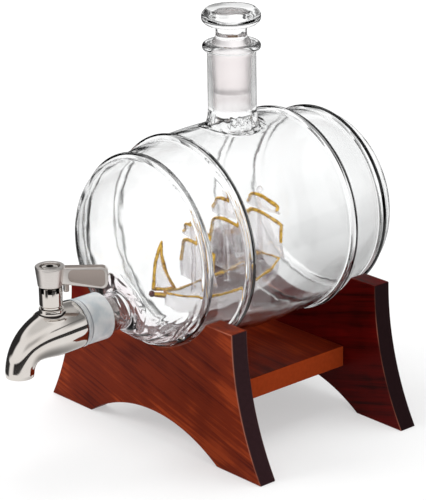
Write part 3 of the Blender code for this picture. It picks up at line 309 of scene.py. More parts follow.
class Finish:
    """A node tree that is filled by calls."""

    def __init__(self, tree, material=None):
        self.tree = tree
        self.material = material
        tree.nodes.clear()

    def node(self, kind, sockets=None, out=0, **settings):
        """Adds a node: its settings first, then the value or the link of each socket."""
        made = self.tree.nodes.new("ShaderNode" + kind)
        for key, value in settings.items():
            setattr(made, key, value)
        for key, value in (sockets or {}).items():
            if isinstance(value, Shade):
                self.tree.links.new(value.socket, made.inputs[key])
            else:
                made.inputs[key].default_value = value
        return Shade(self, made, out)

    def parts(self, vector):
        """The three numbers of a vector."""
        split = self.node("SeparateXYZ", {0: vector})
        return split, split.out(1), split.out(2)

    def place(self):
        """The point on the piece, in its own axes."""
        return self.node("TexCoord", out="Object")

    def xyz(self):
        """The three numbers of the point on the piece."""
        return self.parts(self.place())

    def rays(self, *kinds):
        """1 for each kind of ray that meets the surface, else 0."""
        path = self.node("LightPath")
        return [path.out(f"Is {kind} Ray") for kind in kinds]

    def noise(self, scale, detail, roughness=0.5, distortion=0.0, vector=None):
        """Cloudy noise round the point on the piece."""
        sockets = {"Vector": vector or self.place(), "Scale": scale, "Detail": detail}
        return self.node("TexNoise", sockets | {"Roughness": roughness, "Distortion": distortion})

    def streaks(self, scale, detail, roughness=0.5, distortion=0.0, turn=(0, 0, 0)):
        """Noise with a scale of its own on each axis, turned by three angles."""
        turned_place = self.node("Mapping", {"Vector": self.place(), "Rotation": turn}, vector_type="POINT")
        way = self.node("VectorMath", {0: turned_place, 1: scale}, operation="MULTIPLY")
        return self.noise(1, detail, roughness, distortion, way)

    def tint(self, mask, low, high):
        """One colour where the mask is 0, the other where it is 1."""
        return self.node("Mix", {0: mask, 6: low, 7: high}, out=2, data_type="RGBA")

    def ramp(self, value, stops):
        """A colour for each value, from (value, colour) stops."""
        made = self.node("ValToRGB", {0: value})
        elements = made.made.color_ramp.elements
        while len(elements) < len(stops):
            elements.new(0.5)
        for element, (place, colour) in zip(elements, stops):
            element.position = place
            element.color = colour
        return made

    def bump(self, height, distance, strength=1.0, normal=None):
        """A normal from a height, on top of another normal where one is given."""
        sockets = {"Height": height, "Distance": distance, "Strength": strength}
        return self.node("Bump", sockets | ({"Normal": normal} if normal else {}))

    def principled(self, **sockets):
        """A principled surface. An underscore stands for the space in a socket's name."""
        return self.node("BsdfPrincipled", {key.replace("_", " "): value for key, value in sockets.items()})

    def done(self, surface):
        """Ends a material with this surface."""
        self.node("OutputMaterial", {"Surface": surface})
        return self.material

    def solid(self, **sockets):
        """Ends a material with a principled surface."""
        return self.done(self.principled(**sockets))

    def clear(self, tint, straight, **sockets):
        """Ends a material with glass. Lamp light, bounced light and a share of the view pass straight."""
        shadow, diffuse = self.rays("Shadow", "Diffuse")
        passing = (shadow.most(diffuse) * LAMP_LIGHT_THROUGH).most(straight)
        straight_on = self.node("BsdfTransparent", {"Color": tint})
        glass = self.principled(**sockets)
        return self.done(self.node("MixShader", {0: passing, 1: glass, 2: straight_on}))


def new_finish(name):
    """An empty finish for a new material."""
    material = bpy.data.materials.new(name)
    material.use_nodes = True
    return Finish(material.node_tree, material)


def length(a, b):
    """The length of a step of a one way and b at right angles to it."""
    return (a * a + b * b) ** 0.5


def along(x, y, way):
    """How far a place lies along a level direction."""
    return x * way.x + y * way.y


def paint(red, green, blue):
    """A colour as it is seen on a screen, from 0 to 255, in the linear values of a shader."""
    shares = [part / 255 for part in (red, green, blue)]
    return (*(s / 12.92 if s <= 0.04045 else ((s + 0.055) / 1.055) ** 2.4 for s in shares), 1.0)


def blown_glass():
    """Clear blown glass with soft ripples. It is thick and swirled low on the front dome, round the nozzle
    and at the neck's foot, and ground to frost where the stopper seats."""
    finish = new_finish("blown_glass")
    x, y, z = finish.xyz()
    from_neck, from_nozzle = length(x, y - BARREL_Y), length(x, z - TAP_Z)
    grain = finish.noise(2600, 2)
    plug_end = RIM_Z - SOCKET_DEPTH
    ground = z.within(plug_end - GROUND_BELOW_PLUG, RIM_Z - RIM_CLEAR, 0.5 * MM + grain * (1.2 * MM))
    ground = ground * from_neck.fall(GROUND_R, GROUND_R + 0.5 * MM)
    under_plug = z.fall(plug_end - 0.6 * MM, plug_end + 0.2 * MM)
    ahead = BARREL_Y - y
    low = z.fall(BARREL_AXIS_Z - 44 * MM, BARREL_AXIS_Z - 22 * MM)
    thick = ahead.rise(HALF_BODY - 3 * MM, HALF_BODY + 3 * MM) * from_nozzle.rise(10 * MM, 13 * MM)
    thick = thick * low.most(from_nozzle.fall(15 * MM, 24 * MM))
    shoulder = BARREL_AXIS_Z + BARREL_MID_R
    foot = z.within(shoulder - 3 * MM, shoulder + 7 * MM, 2 * MM)
    foot = foot * from_neck.fall(NECK_R + 3 * MM, NECK_R + 6 * MM)
    wave = finish.noise(26, 2, 0.35)
    ripple = finish.noise(62, 1) * (0.3 + ahead.rise(-20 * MM, 50 * MM) * 0.7)
    swirl = finish.streaks((34, 120, 46), 1, 0.4, 1.4)
    swirl = swirl * (thick * SWIRL_RELIEF + foot * FOOT_RELIEF)
    relief = wave * WAVE_RELIEF + ripple * RIPPLE_RELIEF + swirl
    # Painted reflection: the thick glass is tinted pink to stand in for the red wood seen through it.
    bright = finish.tint(thick, (0.985, 0.99, 0.99, 1), (0.96, 0.895, 0.915, 1))
    frost = finish.tint(under_plug, (0.99, 0.955, 0.955, 1), (0.78, 0.735, 0.735, 1))
    return finish.clear(
        (0.95, 0.96, 0.96, 1), 0.0, Base_Color=finish.tint(ground, bright, frost),
        Roughness=ground * (0.27 + grain * 0.1), IOR=GLASS_IOR, Transmission_Weight=1.0,
        Normal=finish.bump(relief, 1.0, 1.0, finish.bump(grain, 0.02 * MM, 0.2)),
    )


def worked_glass():
    """The ship's glass: drawn and pressed by hand, with faint drawing lines."""
    finish = new_finish("worked_glass")
    wave = finish.noise(150, 2)
    lines = finish.streaks((900, 900, 120), 2)
    return finish.clear(
        (0.975, 0.965, 0.97, 1), SHIP_STRAIGHT_VIEW,
        Base_Color=finish.tint(wave, (0.99, 0.975, 0.98, 1), (0.96, 0.94, 0.95, 1)),
        Roughness=0.02 + lines * 0.05, IOR=GLASS_IOR, Transmission_Weight=0.96,
        Normal=finish.bump(wave + lines * 0.2, 0.5 * MM, 0.5),
    )


def milky_silicone():
    """Translucent silicone: milky, with painted shade that greys the groove behind its front lip."""
    finish = new_finish("milky_silicone")
    y = finish.xyz()[1]
    lip_end = BARREL_Y - SLEEVE_FRONT + SLEEVE_LIP
    # Painted shade: the groove behind the lip is painted grey.
    groove = y.within(lip_end + 0.1 * MM, lip_end + 0.9 * MM, 0.2 * MM)
    cloud = finish.noise(120, 3)
    skin = finish.noise(1600, 2)
    milk = finish.tint(cloud.rise(0.36, 0.64), paint(222, 229, 232), paint(255, 255, 254))
    return finish.clear(
        (0.75, 0.77, 0.8, 1), 0.0, Base_Color=finish.tint(groove, milk, paint(150, 150, 156)),
        Roughness=0.26 + skin * 0.1, IOR=SILICONE_IOR, Transmission_Weight=0.56,
        Normal=finish.bump(cloud + skin * 0.05, 0.3 * MM, 0.4),
    )


def painted_gold():
    """Bright liquid gold, fired on: richer where it pooled."""
    finish = new_finish("fired_gold")
    pool = finish.noise(420, 3)
    return finish.solid(
        Base_Color=finish.tint(pool.rise(0.48, 0.7), paint(250, 200, 70), paint(158, 100, 20)),
        Metallic=1.0, Roughness=0.2 + pool * 0.2, Normal=finish.bump(pool, 0.15 * MM, 0.4),
    )


def mottled(name, scale, detail, low, high, rough, spread, relief=(), **more):
    """A plain finish: a texture between two colours, with a spread of roughness and a little relief."""
    finish = new_finish(name)
    cloud = (finish.streaks if isinstance(scale, tuple) else finish.noise)(scale, detail)
    if relief:
        more["Normal"] = finish.bump(cloud, *relief)
    return finish.solid(Base_Color=finish.tint(cloud, low, high), Roughness=rough + cloud * spread, **more)


def polished_steel():
    """Stainless steel buffed to a mirror, with faint buffing marks. Its cut sockets, its notches and the
    creases at its joints are painted dark, as painted shade and painted reflection of dark surroundings."""
    finish = new_finish("buffed_steel")
    x, y, z = finish.xyz()
    from_stem = length(x, y - VALVE_Y)
    notch_shade = z.within(BONNET_TOP_Z - NOTCH_DEPTH - 0.1 * MM, HUB_Z - 0.05 * MM, 0.1 * MM)
    notch_shade = notch_shade * from_stem.fall(BONNET_R - 0.35 * MM, BONNET_R - 0.2 * MM)
    dish_z = HUB_Z + HUB_HEIGHT - HUB_DISH_DEPTH
    socket = z.rise(dish_z - 1 * MM, dish_z)
    socket = socket * from_stem.fall(SCREW_SOCKET_R - 0.15 * MM, SCREW_SOCKET_R + 0.1 * MM)
    horn_back = BARREL_Y - BODY_FACE
    seam_shade = y.within(horn_back - 0.75 * MM, horn_back + 0.2 * MM, 0.12 * MM)
    boss_foot = BOSS_TOP_Z - 1.1 * MM - BOSS_FILLET_R
    crease_shade = z.rise(boss_foot - 0.5 * MM, boss_foot) * z.fall(BOSS_TOP_Z - 2 * MM, BOSS_TOP_Z - 1.5 * MM)
    crease_shade = crease_shade * from_stem.within(BOSS_R + 0.35 * MM, BOSS_R + 1.4 * MM, 0.15 * MM)
    # Painted shade and painted dark reflection: notches, screw socket, horn seam and boss crease are painted
    # near-black.
    scale = notch_shade.most(socket).most(seam_shade).most(crease_shade)
    marks = finish.streaks((1800, 240, 1800), 3, turn=(0, 0, 0.3))
    cloud = finish.noise(70, 2)
    bright = finish.tint(cloud, paint(212, 204, 196), paint(228, 224, 220))
    return finish.solid(
        Base_Color=finish.tint(scale, bright, paint(46, 42, 40)), Metallic=1.0,
        Roughness=0.05 + marks * 0.05 + scale * 0.4,
        Normal=finish.bump(cloud + marks * 0.05, 0.12 * MM, 0.25),
    )


def satin_steel():
    """The handle's blasted steel. The recessed panel on each side of the paddle is darker and coarser."""
    finish = new_finish("satin_steel")
    x, y, z = finish.xyz()
    recess = (LEVER_THICKNESS - PANEL_DEPTH) / 2
    panel = y.size().fall(recess, recess + 0.15 * MM)
    panel = panel * x.within(HUB_TOP_R, LEVER_LENGTH - PANEL_INSET, 0.2 * MM)
    dish_z = HUB_HEIGHT - HUB_DISH_DEPTH
    # Painted shade: the dish floor in the ring between the screw head and the dish wall is painted
    # near-black.
    well = z.rise(dish_z - 0.5 * MM, dish_z - 0.2 * MM)
    well = well * length(x, y).within(SCREW_HEAD_R - 0.3 * MM, HUB_DISH_R - 0.25 * MM, 0.1 * MM)
    grain = finish.noise(5200, 2)
    brush = finish.streaks((160, 3000, 2600), 3)
    light = finish.tint(brush, paint(212, 205, 200), paint(232, 227, 223))
    light = finish.tint(well, light, paint(40, 36, 34))
    dark = finish.tint(grain, paint(172, 159, 152), paint(192, 180, 173))
    return finish.solid(
        Base_Color=finish.tint(panel, light, dark), Metallic=1.0,
        Roughness=0.3 + brush * 0.1 + panel * (0.1 + grain * 0.1),
        Normal=finish.bump(grain * (0.3 + panel), 0.03 * MM, 0.5),
    )


def lacquered_wood(name, turn, light, middle, dark, end, horn_shade=None):
    """Stained and lacquered hardwood. Grain runs along the piece's X before it is turned. The edges are
    paler, partly wear and partly painted highlight, and painted shade darkens the left horn where a colour
    for it is given."""
    finish = new_finish(name)
    figure = finish.streaks((6, 130, 130), 4, 0.6, 0.6, turn)
    pores = finish.streaks((60, 2200, 2200), 2, 0.6, turn=turn)
    streak = finish.streaks((14, 520, 520), 3, 0.6, turn=turn)
    broad = finish.noise(24, 3)
    shade = figure * 0.34 + streak * 0.34 + broad * 0.42
    face = finish.ramp(shade, [(0.44, dark), (0.53, middle), (0.57, middle), (0.65, light)])
    face = finish.tint(pores.fall(0.28, 0.44) * 0.45, face, dark)
    # Painted shade: the top of the left horn is painted a darker red.
    if horn_shade:
        x, _, z = finish.xyz()
        face = finish.tint(x.fall(-64 * MM, -52 * MM) * z.rise(56 * MM, 72 * MM) * 0.85, face, horn_shade)
    facing = [way.size() for way in finish.parts(finish.node("NewGeometry", out="True Normal"))]
    # Faces along X get their own colour: the boards' dark ends are partly end grain, partly painted shade;
    # the shelf's paler ends are painted light.
    end_mask = facing[0].rise(0.55, 0.75)
    flank = facing[0].rise(0.2, 0.4).most(facing[2].rise(0.2, 0.4))
    # Paler edges: part wear, part painted highlight where the lacquered edges catch the light.
    worn = facing[1].rise(0.2, 0.4) * flank * broad.rise(0.35, 0.6) * 0.6
    end_colour = finish.tint(finish.noise(420, 3), end, (*(part * 1.5 for part in end[:3]), 1))
    return finish.solid(
        Base_Color=finish.tint(worn, finish.tint(end_mask, face, end_colour), paint(196, 122, 98)),
        Roughness=0.36 + streak * 0.14 + end_mask * 0.25, Specular_IOR_Level=0.03,
        Coat_Weight=0.03 * (1 - end_mask) + worn * 0.5, Coat_Roughness=0.2,
        Normal=finish.bump(figure * 0.3 + pores * 0.5, 0.06 * MM, 0.5),
    )


def shell(points, faces, material=0):
    """Points, faces and the number of the material that they wear."""
    return [Vector(p) for p in points], faces, material


def piece(name, shells, materials, sharp=32.0):
    """One object from one or more shells, shaded smooth except at sharp edges."""
    mesh = bpy.data.meshes.new(name)
    points, faces, worn = [], [], []
    for some_points, some_faces, material in shells:
        start = len(points)
        points += some_points
        faces += [[start + i for i in face] for face in some_faces]
        worn += [material] * len(some_faces)
    mesh.from_pydata(points, [], faces)
    mesh.polygons.foreach_set("material_index", worn)
    for material in materials:
        mesh.materials.append(material)
    body = bmesh.new()
    body.from_mesh(mesh)
    bmesh.ops.recalc_face_normals(body, faces=body.faces)
    body.to_mesh(mesh)
    body.free()
    mesh.shade_smooth()
    mesh.set_sharp_from_angle(angle=radians(sharp))
    made = bpy.data.objects.new(name, mesh)
    bpy.context.scene.collection.objects.link(made)
    return made


def arc(centre, radius, start, end, count):
    """Points along a part of a circle."""
    angles = [start + (end - start) * i / count for i in range(count + 1)]
    return [(centre[0] + radius * cos(a), centre[1] + radius * sin(a)) for a in angles]


def cove(radius, top, wide, tall, count):
    """A quarter curve that leads a turned wall out into its foot."""
    return [(radius + wide - x, top - z) for x, z in (
        (wide * cos(QUARTER * i / count), tall * sin(QUARTER * i / count)) for i in range(count + 1)
    )]


def to_axis(points):
    """Closes a profile to the axis at both ends."""
    return [(0, points[0][1]), *points, (0, points[-1][1])]


def pin(radius, top, low):
    """The profile of a plain round pin."""
    return to_axis([(radius, top), (radius, low)])


def turned(profile, steps, place, turn=UPRIGHT, ring=False, material=0):
    """A shell turned from (radius, height) points round local Z, then turned and moved into place."""
    move = Matrix.Translation(place) @ turn
    points, rows, faces = [], [], []
    for radius, height in profile:
        start = len(points)
        for x, y in arc((0, 0), radius, 0, 2 * pi, steps)[: steps if radius > 1e-7 else 1]:
            points.append(move @ Vector((x, y, height)))
        rows.append(range(start, len(points)))
    for upper, lower in zip(rows, rows[1:] + rows[:1] if ring else rows[1:]):
        for i in range(steps):
            j = (i + 1) % steps
            corners = ((upper, j), (upper, i), (lower, i), (lower, j))
            face = tuple(dict.fromkeys(row[k % len(row)] for row, k in corners))
            if len(face) > 2:
                faces.append(face)
    return shell(points, faces, material)


def eased(points, radius, count=3, ring=False):
    """Rounds the corners of a profile. Its two ends stay, unless it is a ring."""
    corners = [Vector(p) for p in points]
    result = []
    for i, corner in enumerate(corners):
        if not ring and i in (0, len(corners) - 1):
            result.append(tuple(corner))
            continue
        a, b = corners[i - 1] - corner, corners[(i + 1) % len(corners)] - corner
        back = min(radius, a.length * 0.45, b.length * 0.45)
        start, end = corner + a.normalized() * back, corner + b.normalized() * back
        for t in (k / count for k in range(count + 1)):
            result.append(tuple(start * (1 - t) ** 2 + corner * 2 * t * (1 - t) + end * t * t))
    return result


def tube(sections, material=0, closed=False):
    """A shell round sections with as many points each, with flat ends or joined end to end."""
    sides, count = len(sections[0]), len(sections)
    faces = [] if closed else [tuple(range(sides)), tuple(range((count - 1) * sides, count * sides))]
    for i in range(count if closed else count - 1):
        low, high, shift = i * sides, (i + 1) % count * sides, 0
        if i == count - 1:
            shift = min(range(sides), key=lambda k: (sections[0][k] - sections[-1][0]).length)
        for k in range(sides):
            j = (k + 1) % sides
            faces.append((low + k, low + j, high + (j + shift) % sides, high + (k + shift) % sides))
    return shell(sum(sections, []), faces, material)


def rod(path, radii, sides=10, material=0, closed=False):
    """A round rod along points, with one radius or one at each, and flat ends or joined end to end."""
    path = [Vector(p) for p in path]
    count = len(path)
    if not isinstance(radii, list):
        radii = [radii] * count
    sections, across = [], None
    for i in range(count):
        if closed:
            along_rod = path[(i + 1) % count] - path[i - 1]
        else:
            along_rod = path[min(i + 1, count - 1)] - path[max(i - 1, 0)]
        along_rod.normalize()
        if across is None:
            across = along_rod.orthogonal().normalized()
        across = (across - along_rod * across.dot(along_rod)).normalized()
        up = along_rod.cross(across)
        ring = arc((0, 0), radii[i], 0, 2 * pi, sides)[:sides]
        sections.append([path[i] + across * x + up * y for x, y in ring])
    return tube(sections, material, closed)


def slab(outline, thickness, move):
    """A flat outline in local XY with this thickness about its plane."""
    count = len(outline)
    points = [move @ Vector((x, y, z)) for z in (thickness / 2, -thickness / 2) for x, y in outline]
    faces = [tuple(range(count)), tuple(reversed(range(count, 2 * count)))]
    for i in range(count):
        j = (i + 1) % count
        faces.append((i, i + count, j + count, j))
    return shell(points, faces)


def block(low, high, move=UPRIGHT):
    """A box between two corners."""
    outline = [(low[0], low[1]), (high[0], low[1]), (high[0], high[1]), (low[0], high[1])]
    lift = Matrix.Translation((0, 0, (low[2] + high[2]) / 2))
    return slab(outline, high[2] - low[2], move @ lift)


def applied(made):
    """Makes the modifiers of a piece part of its mesh."""
    bpy.context.view_layer.update()
    graph = bpy.context.evaluated_depsgraph_get()
    mesh = bpy.data.meshes.new_from_object(made.evaluated_get(graph))
    made.modifiers.clear()
    made.data = mesh
    return made


def modify(made, kind, **settings):
    """Gives a piece one more modifier."""
    step = made.modifiers.new(kind, kind)
    for key, value in settings.items():
        setattr(step, key, value)


def carved(made, joined, removed, sharp=32.0):
    """Joins shells to a piece and removes others from it, for good."""
    helpers = []
    for operation, group in (("UNION", joined), ("DIFFERENCE", removed)):
        for some in group:
            helpers.append(piece("helper", [some], list(made.data.materials)))
            modify(made, "BOOLEAN", operation=operation, solver="EXACT", object=helpers[-1])
    applied(made)
    for helper in helpers:
        bpy.data.objects.remove(helper, do_unlink=True)
    made.data.shade_smooth()
    made.data.set_sharp_from_angle(angle=radians(sharp))
    return made


def softened(made, width, segments):
    """Rounds the edges of a piece with a bevel, for good."""
    limit = {"limit_method": "ANGLE", "angle_limit": radians(35)}
    modify(made, "BEVEL", width=width, segments=segments, harden_normals=True, **limit)
    return applied(made)


def soft_slab(outline, thickness, side, width, segments):
    """An upright slab with rounded edges, this far to the side, as a shell."""
    upright = Matrix.Translation((0, side, 0)) @ FORWARD
    made = softened(piece("slab", [slab(outline, thickness, upright)], []), width, segments)
    taken = shell([v.co.copy() for v in made.data.vertices], [list(p.vertices) for p in made.data.polygons])
    bpy.data.objects.remove(made, do_unlink=True)
    return taken


def read(table, share):
    """Reads an evenly spaced table with a smooth curve through its entries."""
    place = min(max(share, 0.0), 1.0) * (len(table) - 1)
    i = min(int(place), len(table) - 2)
    t = place - i
    a, b = table[max(i - 1, 0)], table[i]
    c, d = table[i + 1], table[min(i + 2, len(table) - 1)]
    return b + 0.5 * t * (c - a + t * (2 * a - 5 * b + 4 * c - d + t * (3 * (b - c) + d - a)))


def dress(made, body, slot, *nodes):
    """Attaches a piece to the body it rides on and hides the CAD nodes it stands for. Its slot of finish is
    not used.
    """
    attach(made, body)
    if nodes:
        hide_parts(*nodes)
    return made


def wall_radius(reach, wall=0.0):
    """The barrel's radius along its length, domes included and hoops left out."""
    beyond = abs(reach) - HALF_BODY
    if beyond <= 0:
        fall = (BARREL_MID_R - BARREL_END_R) * (abs(reach) / HALF_BODY) ** BULGE_POWER
        return BARREL_MID_R - fall - wall
    share = min(beyond / (DOME_DEPTH - wall), 1.0)
    return (BARREL_END_R - wall) * (1 - share**BULGE_POWER) ** (1 / BULGE_POWER)


def hooped_radius(reach):
    """The outer radius with the four hoops, each with a small fillet at its foot."""
    share = min(abs(reach - centre) for centre in HOOP_REACHES) / HOOP_HALF_WIDTH
    if share > HOOP_SPREAD:
        return wall_radius(reach)
    bead = HOOP_HEIGHT * sqrt(1 - share * share) if share < 1 else (1 - share) * HOOP_HEIGHT * 2
    close = max(HOOP_FILLET - abs(bead), 0) / HOOP_FILLET
    return wall_radius(reach) + max(bead, 0) + close * close * HOOP_FILLET / 4


def hollow(from_hoop):
    """How far the inside is blown out this far from a hoop's middle."""
    share = from_hoop / HOOP_HOLLOW_HALF_WIDTH
    return HOOP_HOLLOW * cos(share * QUARTER) ** 2 if share < 1 else 0


def dome_samples(wall, count):
    """(radius, reach) points of the front dome, or of its inside where it has a wall."""
    samples = []
    for i in range(count):
        angle = QUARTER * (1 - i / count)
        radius = (BARREL_END_R - wall) * cos(angle) ** (2 / BULGE_POWER)
        depth = (DOME_DEPTH - wall) * sin(angle) ** (2 / BULGE_POWER)
        if wall:
            radius += hollow(depth)
        samples.append((radius if i else 0, HALF_BODY + depth))
    return samples


def mirrored(front, middle):
    """A profile with a dome before its middle and the same dome behind."""
    return front + middle + [(radius, -reach) for radius, reach in reversed(front)]


def outer_profile():
    """The barrel's outside, with points close together at its hoops."""
    reaches = []
    spread = HOOP_HALF_WIDTH * HOOP_SPREAD
    for centre in HOOP_REACHES:
        reaches += [centre + spread * sin(pi * (i / 34 - 0.5)) for i in range(35)]
        reaches += [centre + HOOP_HALF_WIDTH * cos(pi * i / 20) for i in range(21)]
    steps = 44
    reaches += [HALF_BODY * (1 - 2 * i / steps) for i in range(steps + 1)]
    front = [sample for sample in dome_samples(0, 40) if sample[1] > HALF_BODY + spread]
    middle = []
    for reach in sorted(reaches, reverse=True):
        if not middle or middle[-1][1] - reach > 0.06 * MM:
            middle.append((hooped_radius(reach), reach))
    return mirrored(front, middle)


def inner_profile():
    """The barrel's inside, with a hollow behind each hoop."""
    steps = 130
    middle = []
    for reach in (HALF_BODY * (1 - 2 * i / steps) for i in range(steps + 1)):
        behind_hoops = sum(hollow(abs(reach - centre)) for centre in HOOP_REACHES)
        middle.append((wall_radius(reach, BLOWN_WALL) + behind_hoops, reach))
    return mirrored(dome_samples(BLOWN_WALL, 36), middle)


def socket_radius(depth):
    """The tapered socket's radius this far under the rim."""
    return SOCKET_TOP_R - SOCKET_TAPER * depth


def make_barrel(glass):
    """The blown body with its hoops, neck and nozzle, and the ways through them."""
    centre = Vector((0, BARREL_Y, BARREL_AXIS_Z))
    barrel = piece("blown_barrel", [turned(outer_profile(), 160, centre, FORWARD)], [glass])

    foot_z = BARREL_AXIS_Z + BARREL_MID_R - NECK_FLARE_SINK
    foot = cove(NECK_R, foot_z + NECK_FLARE_HEIGHT, NECK_FLARE_WIDTH, NECK_FLARE_HEIGHT, 16)
    lip = RIM_DEPTH / 2
    rim = arc((RIM_R - lip, RIM_Z - lip), lip, QUARTER, -QUARTER, 12)
    under = eased([rim[-1], (NECK_R, RIM_Z - RIM_DEPTH * 1.3), foot[0]], 1.5 * MM, 5)
    skirt = (NECK_R + NECK_FLARE_WIDTH + NECK_SKIRT, foot_z - NECK_SKIRT)
    neck = to_axis([*rim[:-1], *under[:-1], *foot, skirt])

    end = [(NOZZLE_BORE_R * 0.9, NOZZLE_TIP), (NOZZLE_R, NOZZLE_TIP), (NOZZLE_R, DOME_REACH + OVERRUN)]
    flare = cove(NOZZLE_R, DOME_REACH, NOZZLE_FLARE_R - NOZZLE_R, NOZZLE_FLARE_LENGTH, 10)
    nozzle = to_axis([*eased(end, 0.8 * MM), *flare, (NOZZLE_FLARE_R, HALF_BODY)])

    wall_top = BARREL_AXIS_Z + BARREL_MID_R - GLASS_WALL
    throat = socket_radius(SOCKET_DEPTH)
    inside_z = BARREL_AXIS_Z + BARREL_MID_R / 2
    taper = [(socket_radius(depth), RIM_Z - depth) for depth in (SOCKET_DEPTH * i / 6 for i in range(1, 6))]
    throat_way = [
        (socket_radius(SOCKET_DEPTH * 0.9), RIM_Z - SOCKET_DEPTH * 0.9), (throat, RIM_Z - SOCKET_DEPTH),
        (throat, wall_top + NECK_FLARE_HEIGHT), (throat + GLASS_WALL, wall_top),
        (throat + GLASS_WALL, inside_z),
    ]
    mouth = to_axis([(socket_radius(-OVERRUN), RIM_Z + OVERRUN), *taper, *eased(throat_way, 2 * MM, 4)])
    drain = pin(NOZZLE_BORE_R, NOZZLE_TIP + OVERRUN, HALF_BODY / 2)
    neck_place = Vector((0, BARREL_Y, 0))
    joined = [turned(neck, 96, neck_place), turned(nozzle, 96, TAP_AXIS, FORWARD)]
    inside = turned(inner_profile(), 160, centre, FORWARD)
    ways = [turned(mouth, 96, neck_place), turned(drain, 96, TAP_AXIS, FORWARD)]
    carved(barrel, joined, [inside, *ways], 38.0)
    dress(barrel, "decanter", "clear_glass", "glass_barrel")


def make_stopper(glass):
    """The stopper: a chamfered disc head, a short stem and the tapered plug."""
    low, head = STOPPER_STEM_HEIGHT, STOPPER_HEAD_HEIGHT
    plug_tip = socket_radius(SOCKET_DEPTH) - SEAT_GAP
    profile = [
        (0, low + head), (STOPPER_HEAD_FLAT_R, low + head), (STOPPER_HEAD_R, low + head * 0.66),
        (STOPPER_HEAD_R, low + head * 0.30), (STOPPER_HEAD_FLAT_R, low + head * 0.04),
        (STOPPER_STEM_R * 1.06, low), (STOPPER_STEM_R, low * 0.84), (STOPPER_STEM_R, low * 0.34),
        (socket_radius(0) - SEAT_GAP, 0), (plug_tip, -SOCKET_DEPTH + SEAT_GAP),
        (plug_tip - SEAT_GAP * 3, -SOCKET_DEPTH - SEAT_GAP), (0, -SOCKET_DEPTH - SEAT_GAP),
    ]
    skin = turned(eased(profile, 1.4 * MM, 5), 96, (0, BARREL_Y, RIM_Z))
    dress(piece("ground_stopper", [skin], [glass], 50.0), "stopper", "clear_glass", "glass_stopper")


def make_sleeve(silicone):
    """The collar that grips the nozzle and the tailpiece, with a groove behind its front lip."""
    step = NOZZLE_TIP + SEAT_GAP
    grip = NOZZLE_R + SEAT_GAP
    hold = TAIL_R + TAIL_RIB_HEIGHT + SEAT_GAP
    profile = [
        (hold, SLEEVE_FRONT), (SLEEVE_FRONT_R, SLEEVE_FRONT),
        (SLEEVE_FRONT_R, SLEEVE_FRONT - SLEEVE_LIP * 0.8),
        (SLEEVE_MID_R - SLEEVE_GROOVE, SLEEVE_FRONT - SLEEVE_LIP),
        (SLEEVE_MID_R - SLEEVE_GROOVE, SLEEVE_FRONT - SLEEVE_LIP * 1.3),
        (SLEEVE_MID_R, SLEEVE_FRONT - SLEEVE_LIP * 1.7), (SLEEVE_BACK_R, SLEEVE_BACK), (grip, SLEEVE_BACK),
        (grip, step), (hold, step),
    ]
    skin = turned(eased(profile, 0.5 * MM, 4, ring=True), 96, TAP_AXIS, FORWARD, ring=True)
    dress(piece("silicone_collar", [skin], [silicone], 50.0), "decanter", "silicone", "silicone_sleeve")


def make_tail_tube(steel):
    """The tube from the nozzle into the tap, with three barbs that hold the sleeve."""
    front = BODY_FACE + TAIL_IN_BODY
    back = NOZZLE_TIP - TAIL_IN_NOZZLE
    rib_front = SLEEVE_FRONT - 0.8 * MM
    profile = [(TAIL_BORE_R, front), (TAIL_R, front), (TAIL_R, rib_front)]
    for i in range(3):
        place = rib_front - TAIL_RIB_LENGTH * i
        profile.append((TAIL_R + TAIL_RIB_HEIGHT, place - TAIL_RIB_LENGTH * 0.2))
        profile.append((TAIL_R, place - TAIL_RIB_LENGTH * 0.95))
    profile += [(TAIL_R, back), (TAIL_BORE_R, back)]
    skin = turned(eased(profile, 0.3 * MM, 2, ring=True), 72, TAP_AXIS, FORWARD, ring=True)
    dress(piece("tail_tube", [skin], [steel]), "decanter", "polished_steel", "tap_tailpiece")


def horn_point(share):
    """A point on the horn's middle line, from its back face to the spout's mouth."""
    weights = ((1 - share) ** 3, 3 * (1 - share) ** 2 * share, 3 * (1 - share) * share**2, share**3)
    reach = sum(w * s for w, s in zip(weights, HORN_REACH_SHARES)) * (VALVE_REACH + SPOUT_REACH)
    drop = sum(w * s for w, s in zip(weights, HORN_DROP_SHARES)) * SPOUT_DROP
    return Vector((0, BARREL_Y - BODY_FACE - reach, TAP_Z - drop))


